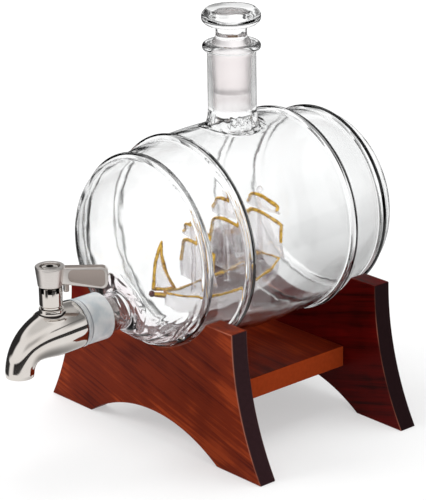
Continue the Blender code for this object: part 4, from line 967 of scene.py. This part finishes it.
def make_horn(steel):
    """The tap body: a curved horn whose back edge is rounded over, with the boss and all its bores."""
    count = 72
    path, radii = [], []
    for i in range(count + 1):
        radius = SPOUT_R + (BODY_BACK_R - SPOUT_R) * read(HORN_TAPER_SHARES, i / count)
        if i < 4:
            radius -= 0.7 * MM * (1 - sqrt(1 - (1 - i / 4) ** 2))
        if i > count - 3:
            radius -= 0.35 * MM * (i - count + 3) / 3
        path.append(horn_point(i / count))
        radii.append(radius)
    for i, share in ((1, 0.15), (2, 0.3), (3, 0.45)):
        path[i] = path[0].lerp(path[i], share)
    horn = piece("tap_horn", [rod(path, radii, 72)], [steel], 40.0)

    fillet_top = BOSS_TOP_Z - 1.1 * MM
    top = eased([(BOSS_R * 0.8, BOSS_TOP_Z), (BOSS_R, BOSS_TOP_Z), (BOSS_R, fillet_top)], 0.5 * MM)
    boss = [*top, *cove(BOSS_R, fillet_top, BOSS_FILLET_R, BOSS_FILLET_R, 10)]
    boss = to_axis([*boss, (boss[-1][0], TAP_Z)])
    socket = TAIL_R + SEAT_GAP
    socket_end = BODY_FACE + TAIL_IN_BODY + WASHER_THICKNESS + SEAT_GAP * 2
    inlet = [(BODY_BORE_R, BARREL_Y - VALVE_Y), (BODY_BORE_R, socket_end)]
    inlet = to_axis([*inlet, (socket, socket_end), (socket, BODY_FACE - OVERRUN)])
    start = 0.0
    while horn_point(start).y > VALVE_Y:
        start += 0.005
    bore_path = [horn_point(start + (1 - start) * i / 24) for i in range(25)]
    bore_path.append(bore_path[-1] - Vector((0, 0, OVERRUN)))
    widening = SPOUT_R - SPOUT_WALL - BODY_BORE_R
    bore_radii = [BODY_BORE_R + widening * min(1.0, 1.6 * i / 24) for i in range(26)]
    well = pin(PLUG_R + SEAT_GAP, BOSS_TOP_Z + OVERRUN, TAP_Z - PLUG_HALF_HEIGHT - SEAT_GAP)
    bores = [turned(inlet, 48, TAP_AXIS, FORWARD), rod(bore_path, bore_radii, 40)]
    bores += [turned(well, 48, VALVE_AXIS)]
    carved(horn, [turned(boss, 72, VALVE_AXIS)], bores, 34.0)
    dress(horn, "decanter", "polished_steel", "tap_body")


def make_bonnet(steel):
    """The castellated collar: nine notches round its top edge, with softened lands between."""
    low = BOSS_TOP_Z + SEAT_GAP
    bore = STEM_R + SEAT_GAP
    waist = BONNET_R - 0.55 * MM
    spigot_low = TAP_Z + PLUG_HALF_HEIGHT + 1.5 * MM + SEAT_GAP * 2
    profile = [(bore, BONNET_TOP_Z), (BONNET_R, BONNET_TOP_Z), (BONNET_R, low + 1.6 * MM)]
    profile += [(waist, low + 1.2 * MM), (waist, low), (PLUG_R, low)]
    profile += [(PLUG_R, spigot_low), (bore, spigot_low)]
    skin = turned(eased(profile, 0.35 * MM, ring=True), 72, VALVE_AXIS, ring=True)
    bonnet = piece("bonnet_collar", [skin], [steel])
    near = (-NOTCH_WIDTH / 2, STEM_R + 1 * MM, BONNET_TOP_Z - NOTCH_DEPTH)
    far = (NOTCH_WIDTH / 2, BONNET_R + OVERRUN, BONNET_TOP_Z + OVERRUN)
    notches = []
    for i in range(NOTCHES):
        turn = Matrix.Rotation(2 * pi * i / NOTCHES - LEVER_ANGLE - QUARTER, 4, "Z")
        notches.append(block(near, far, Matrix.Translation(VALVE_AXIS) @ turn))
    carved(bonnet, (), notches, 30.0)
    dress(bonnet, "decanter", "polished_steel", "tap_bonnet")


def paddle_outline(inset):
    """The handle's side, as distance from the stem and height over the hub's foot."""
    top = HUB_HEIGHT - LEVER_TOP_DROP - inset
    corner = LEVER_CORNER_R - inset * 0.4
    low_root = HUB_HEIGHT - LEVER_TOP_DROP - LEVER_ROOT_HEIGHT + inset
    low_tip = HUB_HEIGHT - LEVER_TOP_DROP - LEVER_TIP_HEIGHT + inset
    tip = LEVER_LENGTH - inset
    points = arc((tip - corner, top - corner), corner, QUARTER, 0, 10)
    points += arc((tip - corner, low_tip + corner), corner, 0, -QUARTER, 10)
    if inset:
        start = HUB_TOP_R + inset * 1.3
        points += arc((start + corner, low_root + corner), corner, -QUARTER, -pi, 8)
        points += arc((start + corner, top - corner), corner, pi, QUARTER, 8)
    else:
        points += [(LEVER_ROOT_REACH, low_root), (0, low_root), (0, top)]
    return list(reversed(points))


def make_handle(satin):
    """The hub and paddle in the handle's own axes: X along the paddle, Z up, origin under the hub."""
    origin = (0, 0, 0)
    hub = [(HUB_DISH_R * 0.9, HUB_HEIGHT), (HUB_TOP_R, HUB_HEIGHT)]
    hub += [(HUB_TOP_R - 0.25 * MM, HUB_HEIGHT * 0.8), (HUB_BOTTOM_R, 0), (HUB_BOTTOM_R * 0.7, 0)]
    hub = to_axis(eased(hub, 1 * MM, 5))
    handle = piece("tap_handle", [turned(hub, 96, origin)], [satin], 40.0)
    paddle = soft_slab(paddle_outline(0), LEVER_THICKNESS, 0, 0.9 * MM, 4)
    lug_r = STOP_LUG_SIZE / 2 + LUG_FULLNESS
    lug = eased([(lug_r, 0), (lug_r, -STOP_LUG_DROP), (0, -STOP_LUG_DROP)], lug_r * 0.8, 6)
    lug = [(0, HUB_HEIGHT / 3), (lug_r, HUB_HEIGHT / 3), *lug]
    lug = turned(lug, 32, (STOP_LUG_REACH + LUG_FULLNESS, 0, 0))
    removed = [
        soft_slab(paddle_outline(PANEL_INSET), PANEL_DEPTH * 2, side * LEVER_THICKNESS / 2, 0.35 * MM, 3)
        for side in (1, -1)
    ]
    over, dish_z = HUB_HEIGHT + OVERRUN, HUB_HEIGHT - HUB_DISH_DEPTH
    dish = [(HUB_DISH_R + OVERRUN, HUB_HEIGHT + OVERRUN * 0.9), (HUB_DISH_R, HUB_HEIGHT - 0.2 * MM)]
    dish = eased([*dish, (HUB_DISH_R, dish_z), (HUB_DISH_R * 0.8, dish_z)], 0.4 * MM)
    dish = to_axis([(HUB_DISH_R + OVERRUN, over), *dish])
    half = STEM_SQUARE / 2 + SEAT_GAP
    socket_top = BONNET_TOP_Z + STEM_ABOVE_BONNET + SEAT_GAP - HUB_Z
    removed += [turned(dish, 72, origin), turned(pin(SCREW_SHANK_R + SEAT_GAP, over, -OVERRUN), 24, origin)]
    removed += [block((-half, -half, -OVERRUN), (half, half, socket_top))]
    carved(handle, [paddle, lug], removed, 38.0)
    turn = Matrix.Rotation(QUARTER - LEVER_ANGLE, 4, "Z")
    handle.matrix_world = Matrix.Translation((0, VALVE_Y, HUB_Z)) @ turn
    dress(handle, "lever", "satin_steel", "tap_lever")


def make_screw(steel):
    """The lever screw, with its socket."""
    seat = (0, VALVE_Y, HUB_Z + HUB_HEIGHT - HUB_DISH_DEPTH + SEAT_GAP)
    top = SCREW_HEAD_HEIGHT
    head = [(SCREW_HEAD_R * 0.4, top), (SCREW_HEAD_R, top * 0.85), (SCREW_HEAD_R, 0)]
    head = to_axis(eased([*head, (SCREW_SHANK_R, 0), (SCREW_SHANK_R, -SCREW_SHANK_LENGTH)], 0.5 * MM, 4))
    screw = piece("handle_screw", [turned(head, 72, seat)], [steel])
    carved(screw, (), [turned(pin(SCREW_SOCKET_R, top + OVERRUN, top - SCREW_SOCKET_DEPTH), 6, seat)])
    dress(screw, "lever", "polished_steel", "lever_screw")


def panel_outline(drop):
    """A stand board seen from the front, with its cradle this far under the barrel's axis."""
    foot_in = FOOT_HALF_SPAN - FOOT_WIDTH
    horn_in = HORN_HALF_SPAN - HORN_WIDTH
    flare = FOOT_HALF_SPAN - HORN_HALF_SPAN
    side_r = (PANEL_HEIGHT**2 + flare**2) / (2 * flare)
    sweep = asin(PANEL_HEIGHT / side_r)
    side = arc((HORN_HALF_SPAN + side_r, PANEL_HEIGHT), side_r, pi + sweep, pi, 28)
    cradle_r = drop + CRADLE_EXTRA_R
    cradle_z = BARREL_AXIS_Z + CRADLE_EXTRA_R
    top_angle = -asin((cradle_z - PANEL_HEIGHT) / cradle_r)
    cradle = arc((0, cradle_z), cradle_r, top_angle, -QUARTER, 44)
    if cradle[0][0] < horn_in:
        cradle.insert(0, (horn_in, PANEL_HEIGHT))
    arch_r = (foot_in**2 + ARCH_HEIGHT**2) / (2 * ARCH_HEIGHT)
    arch_sweep = asin(foot_in / arch_r)
    arch = arc((0, ARCH_HEIGHT - arch_r), arch_r, QUARTER, QUARTER - arch_sweep, 30)
    right = side + cradle
    left = [(-x, z) for x, z in reversed(right[:-1])]
    return right + left + [(-x, z) for x, z in reversed(arch)] + arch[1:]


def make_board(name, node, wood):
    """A panel of the stand, cut to the node's own place and thickness."""
    low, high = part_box(node)
    drop = max(wall_radius(BARREL_Y - low.y), wall_radius(BARREL_Y - high.y)) + SEAT_GAP
    move = Matrix.Translation((0, (low.y + high.y) / 2, 0)) @ FORWARD
    board = piece(name, [slab(panel_outline(drop), high.y - low.y, move)], [wood])
    dress(softened(board, 0.8 * MM, 3), "stand", "red_brown_wood", node)


def make_shelf(wood):
    """The shelf between the two panels."""
    shelf = piece("shelf_plank", [block(*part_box("shelf_board"))], [wood])
    dress(softened(shelf, 0.8 * MM, 3), "stand", "red_brown_wood", "shelf_board")


def sheer_z(share):
    """The height of the hull's top edge at a share of its length."""
    bow = max(0.0, 1 - share / 0.45) ** 2
    stern = max(0.0, (share - 0.45) / 0.55) ** 2
    return SHIP_SHEER_Z + SHIP_BOW_RISE * bow + SHIP_STERN_RISE * stern


def ship_y(share):
    """The place of a share of the hull's length."""
    return BARREL_Y - SHIP_BOW_REACH + SHIP_LENGTH * share


def station(share):
    """Half beam and keel height of the hull at a share of its length."""
    place = 0
    while place < len(STATION_SHARES) - 2 and share > STATION_SHARES[place + 1]:
        place += 1
    part = (share - STATION_SHARES[place]) / (STATION_SHARES[place + 1] - STATION_SHARES[place])
    spot = (place + part) / (len(STATION_SHARES) - 1)
    keel = SHIP_KEEL_Z + (SHIP_SHEER_Z - SHIP_KEEL_Z) * read(KEEL_RISE_SHARES, spot)
    return read(BEAM_SHARES, spot) * SHIP_HALF_BEAM, keel


def make_hull(glass, gold):
    """The hull with its gold rails, in one piece."""
    sections = []
    for share in (i / 26 for i in range(27)):
        beam, keel = station(share)
        tall = sheer_z(share) - keel
        half = []
        for spot in (k / 8 for k in range(9)):
            half.append((read(HULL_WIDTH_SHARES, spot) * beam, keel + tall * read(HULL_RISE_SHARES, spot)))
        half += [(-x, z) for x, z in reversed(half[:-1])]
        sections.append([Vector((x, ship_y(share), z)) for x, z in half])
    shells = [tube(sections)]
    shares = [i / 30 for i in range(31)]
    for side in (1, -1):
        rail = [(side * station(share)[0], ship_y(share), sheer_z(share)) for share in shares]
        shells.append(rod(rail, RAIL_R, 10, 1))
    stern = [(x * station(1.0)[0] / 4, ship_y(1.0), sheer_z(1.0)) for x in range(-4, 5)]
    shells.append(rod(stern, RAIL_R, 10, 1))
    hull = piece("ship_hull_blown", shells, [glass, gold], 50.0)
    dress(hull, "decanter", "worked_glass", "ship_hull")


def make_drawn(node, profile, steps, glass):
    """A turned piece of the ship, on the upright axis of its node."""
    low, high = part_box(node)
    made = piece(f"{node}_drawn", [turned(profile, steps, (0, (low.y + high.y) / 2, 0))], [glass], 60.0)
    dress(made, "decanter", "worked_glass", node)


def make_mast(name, glass):
    """A mast that widens to its foot, with a ball at its head."""
    node = f"ship_{name}_mast"
    low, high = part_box(node)
    head = arc((0, high.z - BALL_R), BALL_R, QUARTER, QUARTER - pi * 0.85, 11)[1:]
    pole = [(SPAR_R * 0.7, high.z - BALL_R * 2.3), (SPAR_R, low.z + (high.z - low.z) * 0.3)]
    pole += [(SPAR_R * 1.25, low.z + SPAR_R), (SPAR_R * 1.5, low.z), (0, low.z)]
    make_drawn(node, [(0, high.z), *head, *pole], 24, glass)


def make_post(name, glass):
    """A post that spreads into a foot on the barrel's floor."""
    node = f"ship_post_{name}"
    low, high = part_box(node)
    tall = high.z - low.z
    profile = [(POST_R * 0.9, high.z), (POST_R, low.z + tall * 0.55)]
    profile += [(POST_FOOT_R, low.z + tall * 0.18), (POST_FOOT_R, low.z)]
    make_drawn(node, to_axis(eased(profile, 0.8 * MM, 4)), 32, glass)


def make_sail(name, glass, gold):
    """A sheet of glass like a filled sail, with gold along its arched head and down its sides."""
    node = f"ship_{name}_sail"
    low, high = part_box(node)
    half = SAIL_THICKNESS / 2
    columns, rows = 20, 10
    grid = []
    for v in (k / rows for k in range(rows + 1)):
        width = (high.x - SAIL_THICKNESS * 0.2) * (1 - (1 - UPPER_SAIL_WIDTH_SHARE) * v / 2)
        level = low.z + half + (high.z - low.z - SAIL_THICKNESS - SAIL_ARCH) * v
        for u in (2 * i / columns - 1 for i in range(columns + 1)):
            y = low.y + SAIL_THICKNESS * (1.5 - sin(pi * v)) + SAIL_BULGE * u * u
            grid.append(Vector((width * u, y, level + SAIL_ARCH * (1 - u * u) * (0.35 + 0.65 * v))))
    points = [p + Vector((0, side, 0)) for side in (-half, half) for p in grid]
    count, wide = len(grid), columns + 1
    faces = []
    for a in (k * wide + i for k in range(rows) for i in range(columns)):
        face = (a, a + 1, a + wide + 1, a + wide)
        faces += [face, tuple(i + count for i in reversed(face))]
    left = [k * wide for k in range(rows + 1)]
    right = [i + columns for i in left]
    rim = [*range(wide), *right[1:], *range(count - 2, left[-1] - 1, -1), *left[-2:0:-1]]
    faces += [(a, b, b + count, a + count) for a, b in zip(rim, rim[1:] + rim[:1])]
    middle = rows // 2
    head = [*left[middle:rows], *range(left[-1], count), *right[rows - 1 : middle - 1 : -1]]
    shells = [shell(points, faces), rod([grid[i] for i in head], GOLD_R, 8, 1)]
    for side in (left, right):
        shells.append(rod([grid[i] for i in side[: middle + 1]], GOLD_R * 0.8, 8))
    sail = piece(f"ship_{name}_sail_pressed", shells, [glass, gold], 60.0)
    dress(sail, "decanter", "worked_glass", node)


def make_bowsprit(gold, bead):
    """The gold bowsprit with its dark bead."""
    low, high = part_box("ship_bowsprit")
    root = Vector((0, high.y - 0.5 * MM, low.z + SPAR_R))
    tip = Vector((0, low.y + SPAR_R, high.z - SPAR_R))
    path = [root.lerp(tip, i / 8) for i in range(9)]
    spar = rod(path, [SPAR_R * (1 - 0.25 * i / 8) for i in range(9)], 16)
    drop = turned(arc((0, 0), SPAR_R * 1.25, QUARTER, -QUARTER, 10), 20, tip, material=1)
    bowsprit = piece("ship_bowsprit_gilt", [spar, drop], [gold, bead], 60.0)
    dress(bowsprit, "decanter", "worked_glass", "ship_bowsprit")


def make_jib(glass, gold):
    """The jib: a three-sided sheet with curved sides and gold round its edge."""
    low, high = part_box("ship_jib")
    corners = [
        Vector((0, low.y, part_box("ship_bowsprit")[1].z + GOLD_R)),
        Vector((0, BARREL_Y - SHIP_BOW_REACH - JIB_PEAK_REACH, high.z)),
        Vector((0, high.y, low.z + GOLD_R)),
    ]
    edge = []
    for a, b, curve in zip(corners, corners[1:] + corners[:1], JIB_SIDE_CURVES):
        across = Vector((0, a.z - b.z, b.y - a.y))
        edge += [a.lerp(b, i / 12) + across * curve * sin(pi * i / 12) for i in range(12)]
    side = Vector((SAIL_THICKNESS * 0.4, 0, 0))
    centre = sum(edge, Vector()) / len(edge)
    count = len(edge)
    points = [p + side for p in edge] + [p - side for p in edge]
    points += [centre + side * 1.6, centre - side * 1.6]
    faces = []
    for i in range(count):
        j = (i + 1) % count
        faces += [(i, j, 2 * count), (j + count, i + count, 2 * count + 1), (j, i, i + count, j + count)]
    shells = [shell(points, faces), rod(edge, GOLD_R, 8, 1, closed=True)]
    dress(piece("ship_jib_gilt", shells, [glass, gold], 60.0), "decanter", "worked_glass", "ship_jib")


def beyond_the_glass(behind, level):
    """How bright the surround is through glass: white, with four dark gaps that draw its dark rims."""
    gaps = behind.size().within(0.3, 0.62, 0.04) * level
    return 0.95 + behind.rise(0.2, 0.9) * 0.21 - gaps * 0.85


def make_floor():
    """A pale floor. A mirror sees a dark flag and a dark horizon in it, and glass sees dark gaps."""
    finish = new_finish("studio_floor")
    camera, glossy, through = finish.rays("Camera", "Glossy", "Transmission")
    x, y, _ = finish.xyz()
    far = (x * x + (y - BARREL_Y) ** 2 + 1e-6) ** 0.5
    near_tap = (x * x + (y - VALVE_Y) ** 2 + 1e-6) ** 0.5
    edge = length(x, y)
    out = edge.most(0.01)
    side, depth = x * LOOK.y - y * LOOK.x, along(x, y, LOOK)

    flag = (along(x, y - VALVE_Y, FLAG) / near_tap).rise(0.4, 0.65) * near_tap.rise(0.14, 0.2)
    horizon = edge.rise(0.40, 0.48) * (along(x, y, LEFT) / out).fall(0.7, 0.85)
    strip = side + depth * 0.5 - 0.025
    left_flag = strip.fall(-0.02, 0.02) * depth.rise(0.0, 0.06)
    mirror = (1 - flag * 0.97).least(1 - horizon * 0.96).least(1 - (y / out).rise(0.5, 0.9) * 0.5)
    mirror = mirror.least(1 - left_flag * depth.rise(0.1, 0.16) * 0.95)
    # Painted shadow: the floor that mirrors see is darkened close under the tap.
    mirror = mirror.least(near_tap.rise(0.02, 0.13) * 0.75 + 0.25)

    # Painted shadow and painted wood reflection: glass sees the floor to the low right darkened and tinted
    # mauve.
    low_right = side.rise(0.02, 0.09) * side.fall(0.2, 0.28)
    low_right = low_right * depth.fall(0.16, 0.5) * depth.rise(-0.22, -0.08)
    left_strip = strip.within(-0.14, 0.0, 0.02) * depth.within(0.1, 0.6, 0.05)
    seen_through = beyond_the_glass(along(x, y - BARREL_Y, LOOK_FLAT) / far, far.rise(0.14, 0.22))
    seen_through = seen_through * (1 - low_right * 0.62) * (1 - left_strip * 0.97)
    level = camera * 1.14 + glossy * (1 - through) * mirror + through * seen_through
    wood_reflection_tint = finish.tint(through * low_right * depth.fall(0.03, 0.16), (1, 1, 1, 1), (1, 0.87, 0.88, 1))
    seen = finish.node("VectorMath", {0: wood_reflection_tint, 1: level}, operation="MULTIPLY")
    glow = finish.node("Emission", {"Color": seen})
    grain = finish.tint(finish.noise(40, 2), (0.86, 0.86, 0.86, 1), (0.88, 0.88, 0.88, 1))
    paper = finish.node("BsdfDiffuse", {"Color": grain})
    share = camera * (0.4 + edge.rise(0.35, 1.0) * 0.55) + glossy * 0.99
    material = finish.done(finish.node("MixShader", {0: share, 1: paper, 2: glow}))
    floor = piece("studio_floor", [block((-3, -3, -0.02), (3, 3, -0.0001))], [material])


def make_surround():
    """A white surround. A mirror sees bands in it that shape the steel, and glass sees dark gaps."""
    world = bpy.data.worlds.new("studio_surround")
    bpy.context.scene.world = world
    world.use_nodes = True
    finish = Finish(world.node_tree)
    x, y, z = finish.parts(finish.node("TexCoord", out="Generated"))
    camera, glossy, through = finish.rays("Camera", "Glossy", "Transmission")
    flat = (x * x + y * y + 1e-6) ** 0.5
    leftness = along(x, y, LEFT) / flat
    flag = (along(x, y, FLAG) / flat - z.fall(0.0, 0.3) * 0.25).rise(0.4, 0.65)
    flag = flag * (z - leftness.rise(0.25, 0.5) * 0.42).fall(0.2, 0.3)
    ribbon = z.within(0.46, 0.54, 0.03) * leftness.fall(-0.72, -0.6)
    haze = z.within(0.36, 0.62, 0.1) * leftness.within(-0.5, 0.2, 0.2)
    taupe = y.rise(0.2, 0.55) * z.within(0.35, 0.85, 0.12)
    horizon = z.within(-0.07, 0.06, 0.015) * leftness.fall(0.7, 0.85)
    mirror = (1 - horizon * 0.97 - z.rise(0.8, 0.95) * 0.25).least(1 - flag * 0.97)
    mirror = mirror.least(1 - taupe * 0.75).least(1 - (y / flat).rise(0.5, 0.9) * 0.4)
    mirror = mirror.least(1 - ribbon * 0.85).least(1 - haze * 0.45)
    seen_through = beyond_the_glass(along(x, y, LOOK_FLAT) / flat, z.size().fall(0.45, 0.7))
    level = camera + glossy * (1 - through) * mirror + through * seen_through * (1 - taupe * 0.7)
    level = level + (1 - camera.most(glossy)) * 0.62
    finish.node("OutputWorld", {"Surface": finish.node("Background", {"Color": level})})


def make_lamps_and_camera():
    """Two soft lamps that no mirror or glass sees, and the camera that was fitted to the photograph."""
    link = bpy.context.scene.collection.objects.link
    for name, place, size, power in LAMPS:
        lamp = bpy.data.lights.new(name, "AREA")
        lamp.shape = "DISK"
        lamp.size = size
        lamp.energy = power
        holder = bpy.data.objects.new(name, lamp)
        holder.location = place
        holder.visible_glossy = False
        holder.visible_transmission = False
        aim = Vector((0, 0, 0.1)) - Vector(place)
        holder.rotation_euler = aim.to_track_quat("-Z", "Y").to_euler()
        link(holder)

    camera_data = bpy.data.cameras.new("photo_camera")
    camera_data.sensor_fit = "VERTICAL"
    camera_data.sensor_height = SENSOR
    camera_data.lens = FOCAL_PIXELS * SENSOR / PICTURE_HEIGHT
    camera_data.clip_end = 20.0
    holder = bpy.data.objects.new("photo_camera", camera_data)
    right = LOOK.cross(Vector((0, 0, 1))).normalized()
    up = right.cross(LOOK)
    c, s = cos(CAMERA_ROLL), sin(CAMERA_ROLL)
    axes = Matrix((right * c + up * s, up * c - right * s, -LOOK)).transposed().to_4x4()
    front_face = Vector((0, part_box("front_panel")[0].y, 0))
    holder.matrix_world = Matrix.Translation(CAMERA_BEFORE_FACE + front_face) @ axes
    link(holder)
    bpy.context.scene.camera = holder
    bpy.context.scene.view_settings.view_transform = "Standard"


clear_glass = blown_glass()
ship_glass = worked_glass()
gold = painted_gold()
steel = polished_steel()
black = (paint(26, 26, 27), paint(40, 40, 41))
rubber = mottled("seal_rubber", 2400, 2, *black, 0.55, 0.15, (0.02 * MM, 0.5))
make_barrel(clear_glass)
make_stopper(clear_glass)
make_sleeve(milky_silicone())
make_tail_tube(steel)
make_horn(steel)
make_bonnet(steel)
make_handle(satin_steel())
make_screw(steel)

# Wood colours: the rear board is a darker copy, partly darker stain and partly painted shade; the shelf is
# darkened as painted shade with paler ends as painted light; the front's last colour is its left horn's
# painted shade.
front_stain_and_shade = (paint(144, 55, 22), paint(108, 35, 13), paint(76, 20, 9), paint(44, 27, 30), paint(92, 8, 8))
rear_stain_and_shade = (paint(96, 12, 8), paint(76, 7, 5), paint(42, 4, 3), paint(30, 16, 18))
shelf_stain_light_and_shade = (paint(112, 38, 14), paint(84, 21, 8), paint(54, 11, 6), paint(148, 56, 22))
front_wood = lacquered_wood("front_board_wood", (0, -PANEL_GRAIN_TILT, 0), *front_stain_and_shade)
rear_wood = lacquered_wood("rear_board_wood", (0, PANEL_GRAIN_TILT, 0), *rear_stain_and_shade)
make_board("front_board", "front_panel", front_wood)
make_board("rear_board", "rear_panel", rear_wood)
make_shelf(lacquered_wood("shelf_wood", (0, 0, SHELF_GRAIN_TURN), *shelf_stain_light_and_shade))
make_hull(ship_glass, gold)
for mast in ("fore", "main", "mizzen"):
    make_mast(mast, ship_glass)
    make_sail(f"{mast}_lower", ship_glass, gold)
    make_sail(f"{mast}_upper", ship_glass, gold)
amber = (paint(112, 16, 20), paint(52, 6, 10))
make_bowsprit(gold, mottled("amber_bead", 500, 2, *amber, 0.2, 0.1, Coat_Weight=0.15, IOR=BEAD_IOR))
make_jib(ship_glass, gold)
make_post("front", ship_glass)
make_post("rear", ship_glass)

pale = (paint(196, 160, 112), paint(222, 190, 146))
dowel_wood = mottled("dowel_wood_bare", (900, 40, 900), 3, *pale, 0.6, 0.1, (0.05 * MM, 0.4))
kept_nodes = {"valve_plug": steel, "stem_o_ring": rubber, "tailpiece_washer": rubber}
for end in ("front", "rear"):
    for side in ("left", "right"):
        kept_nodes[f"dowel_{end}_{side}"] = dowel_wood
for node, material in kept_nodes.items():
    kept = frame["nodes"][node]
    kept.data.materials.clear()
    kept.data.materials.append(material)

make_floor()
make_surround()
make_lamps_and_camera()
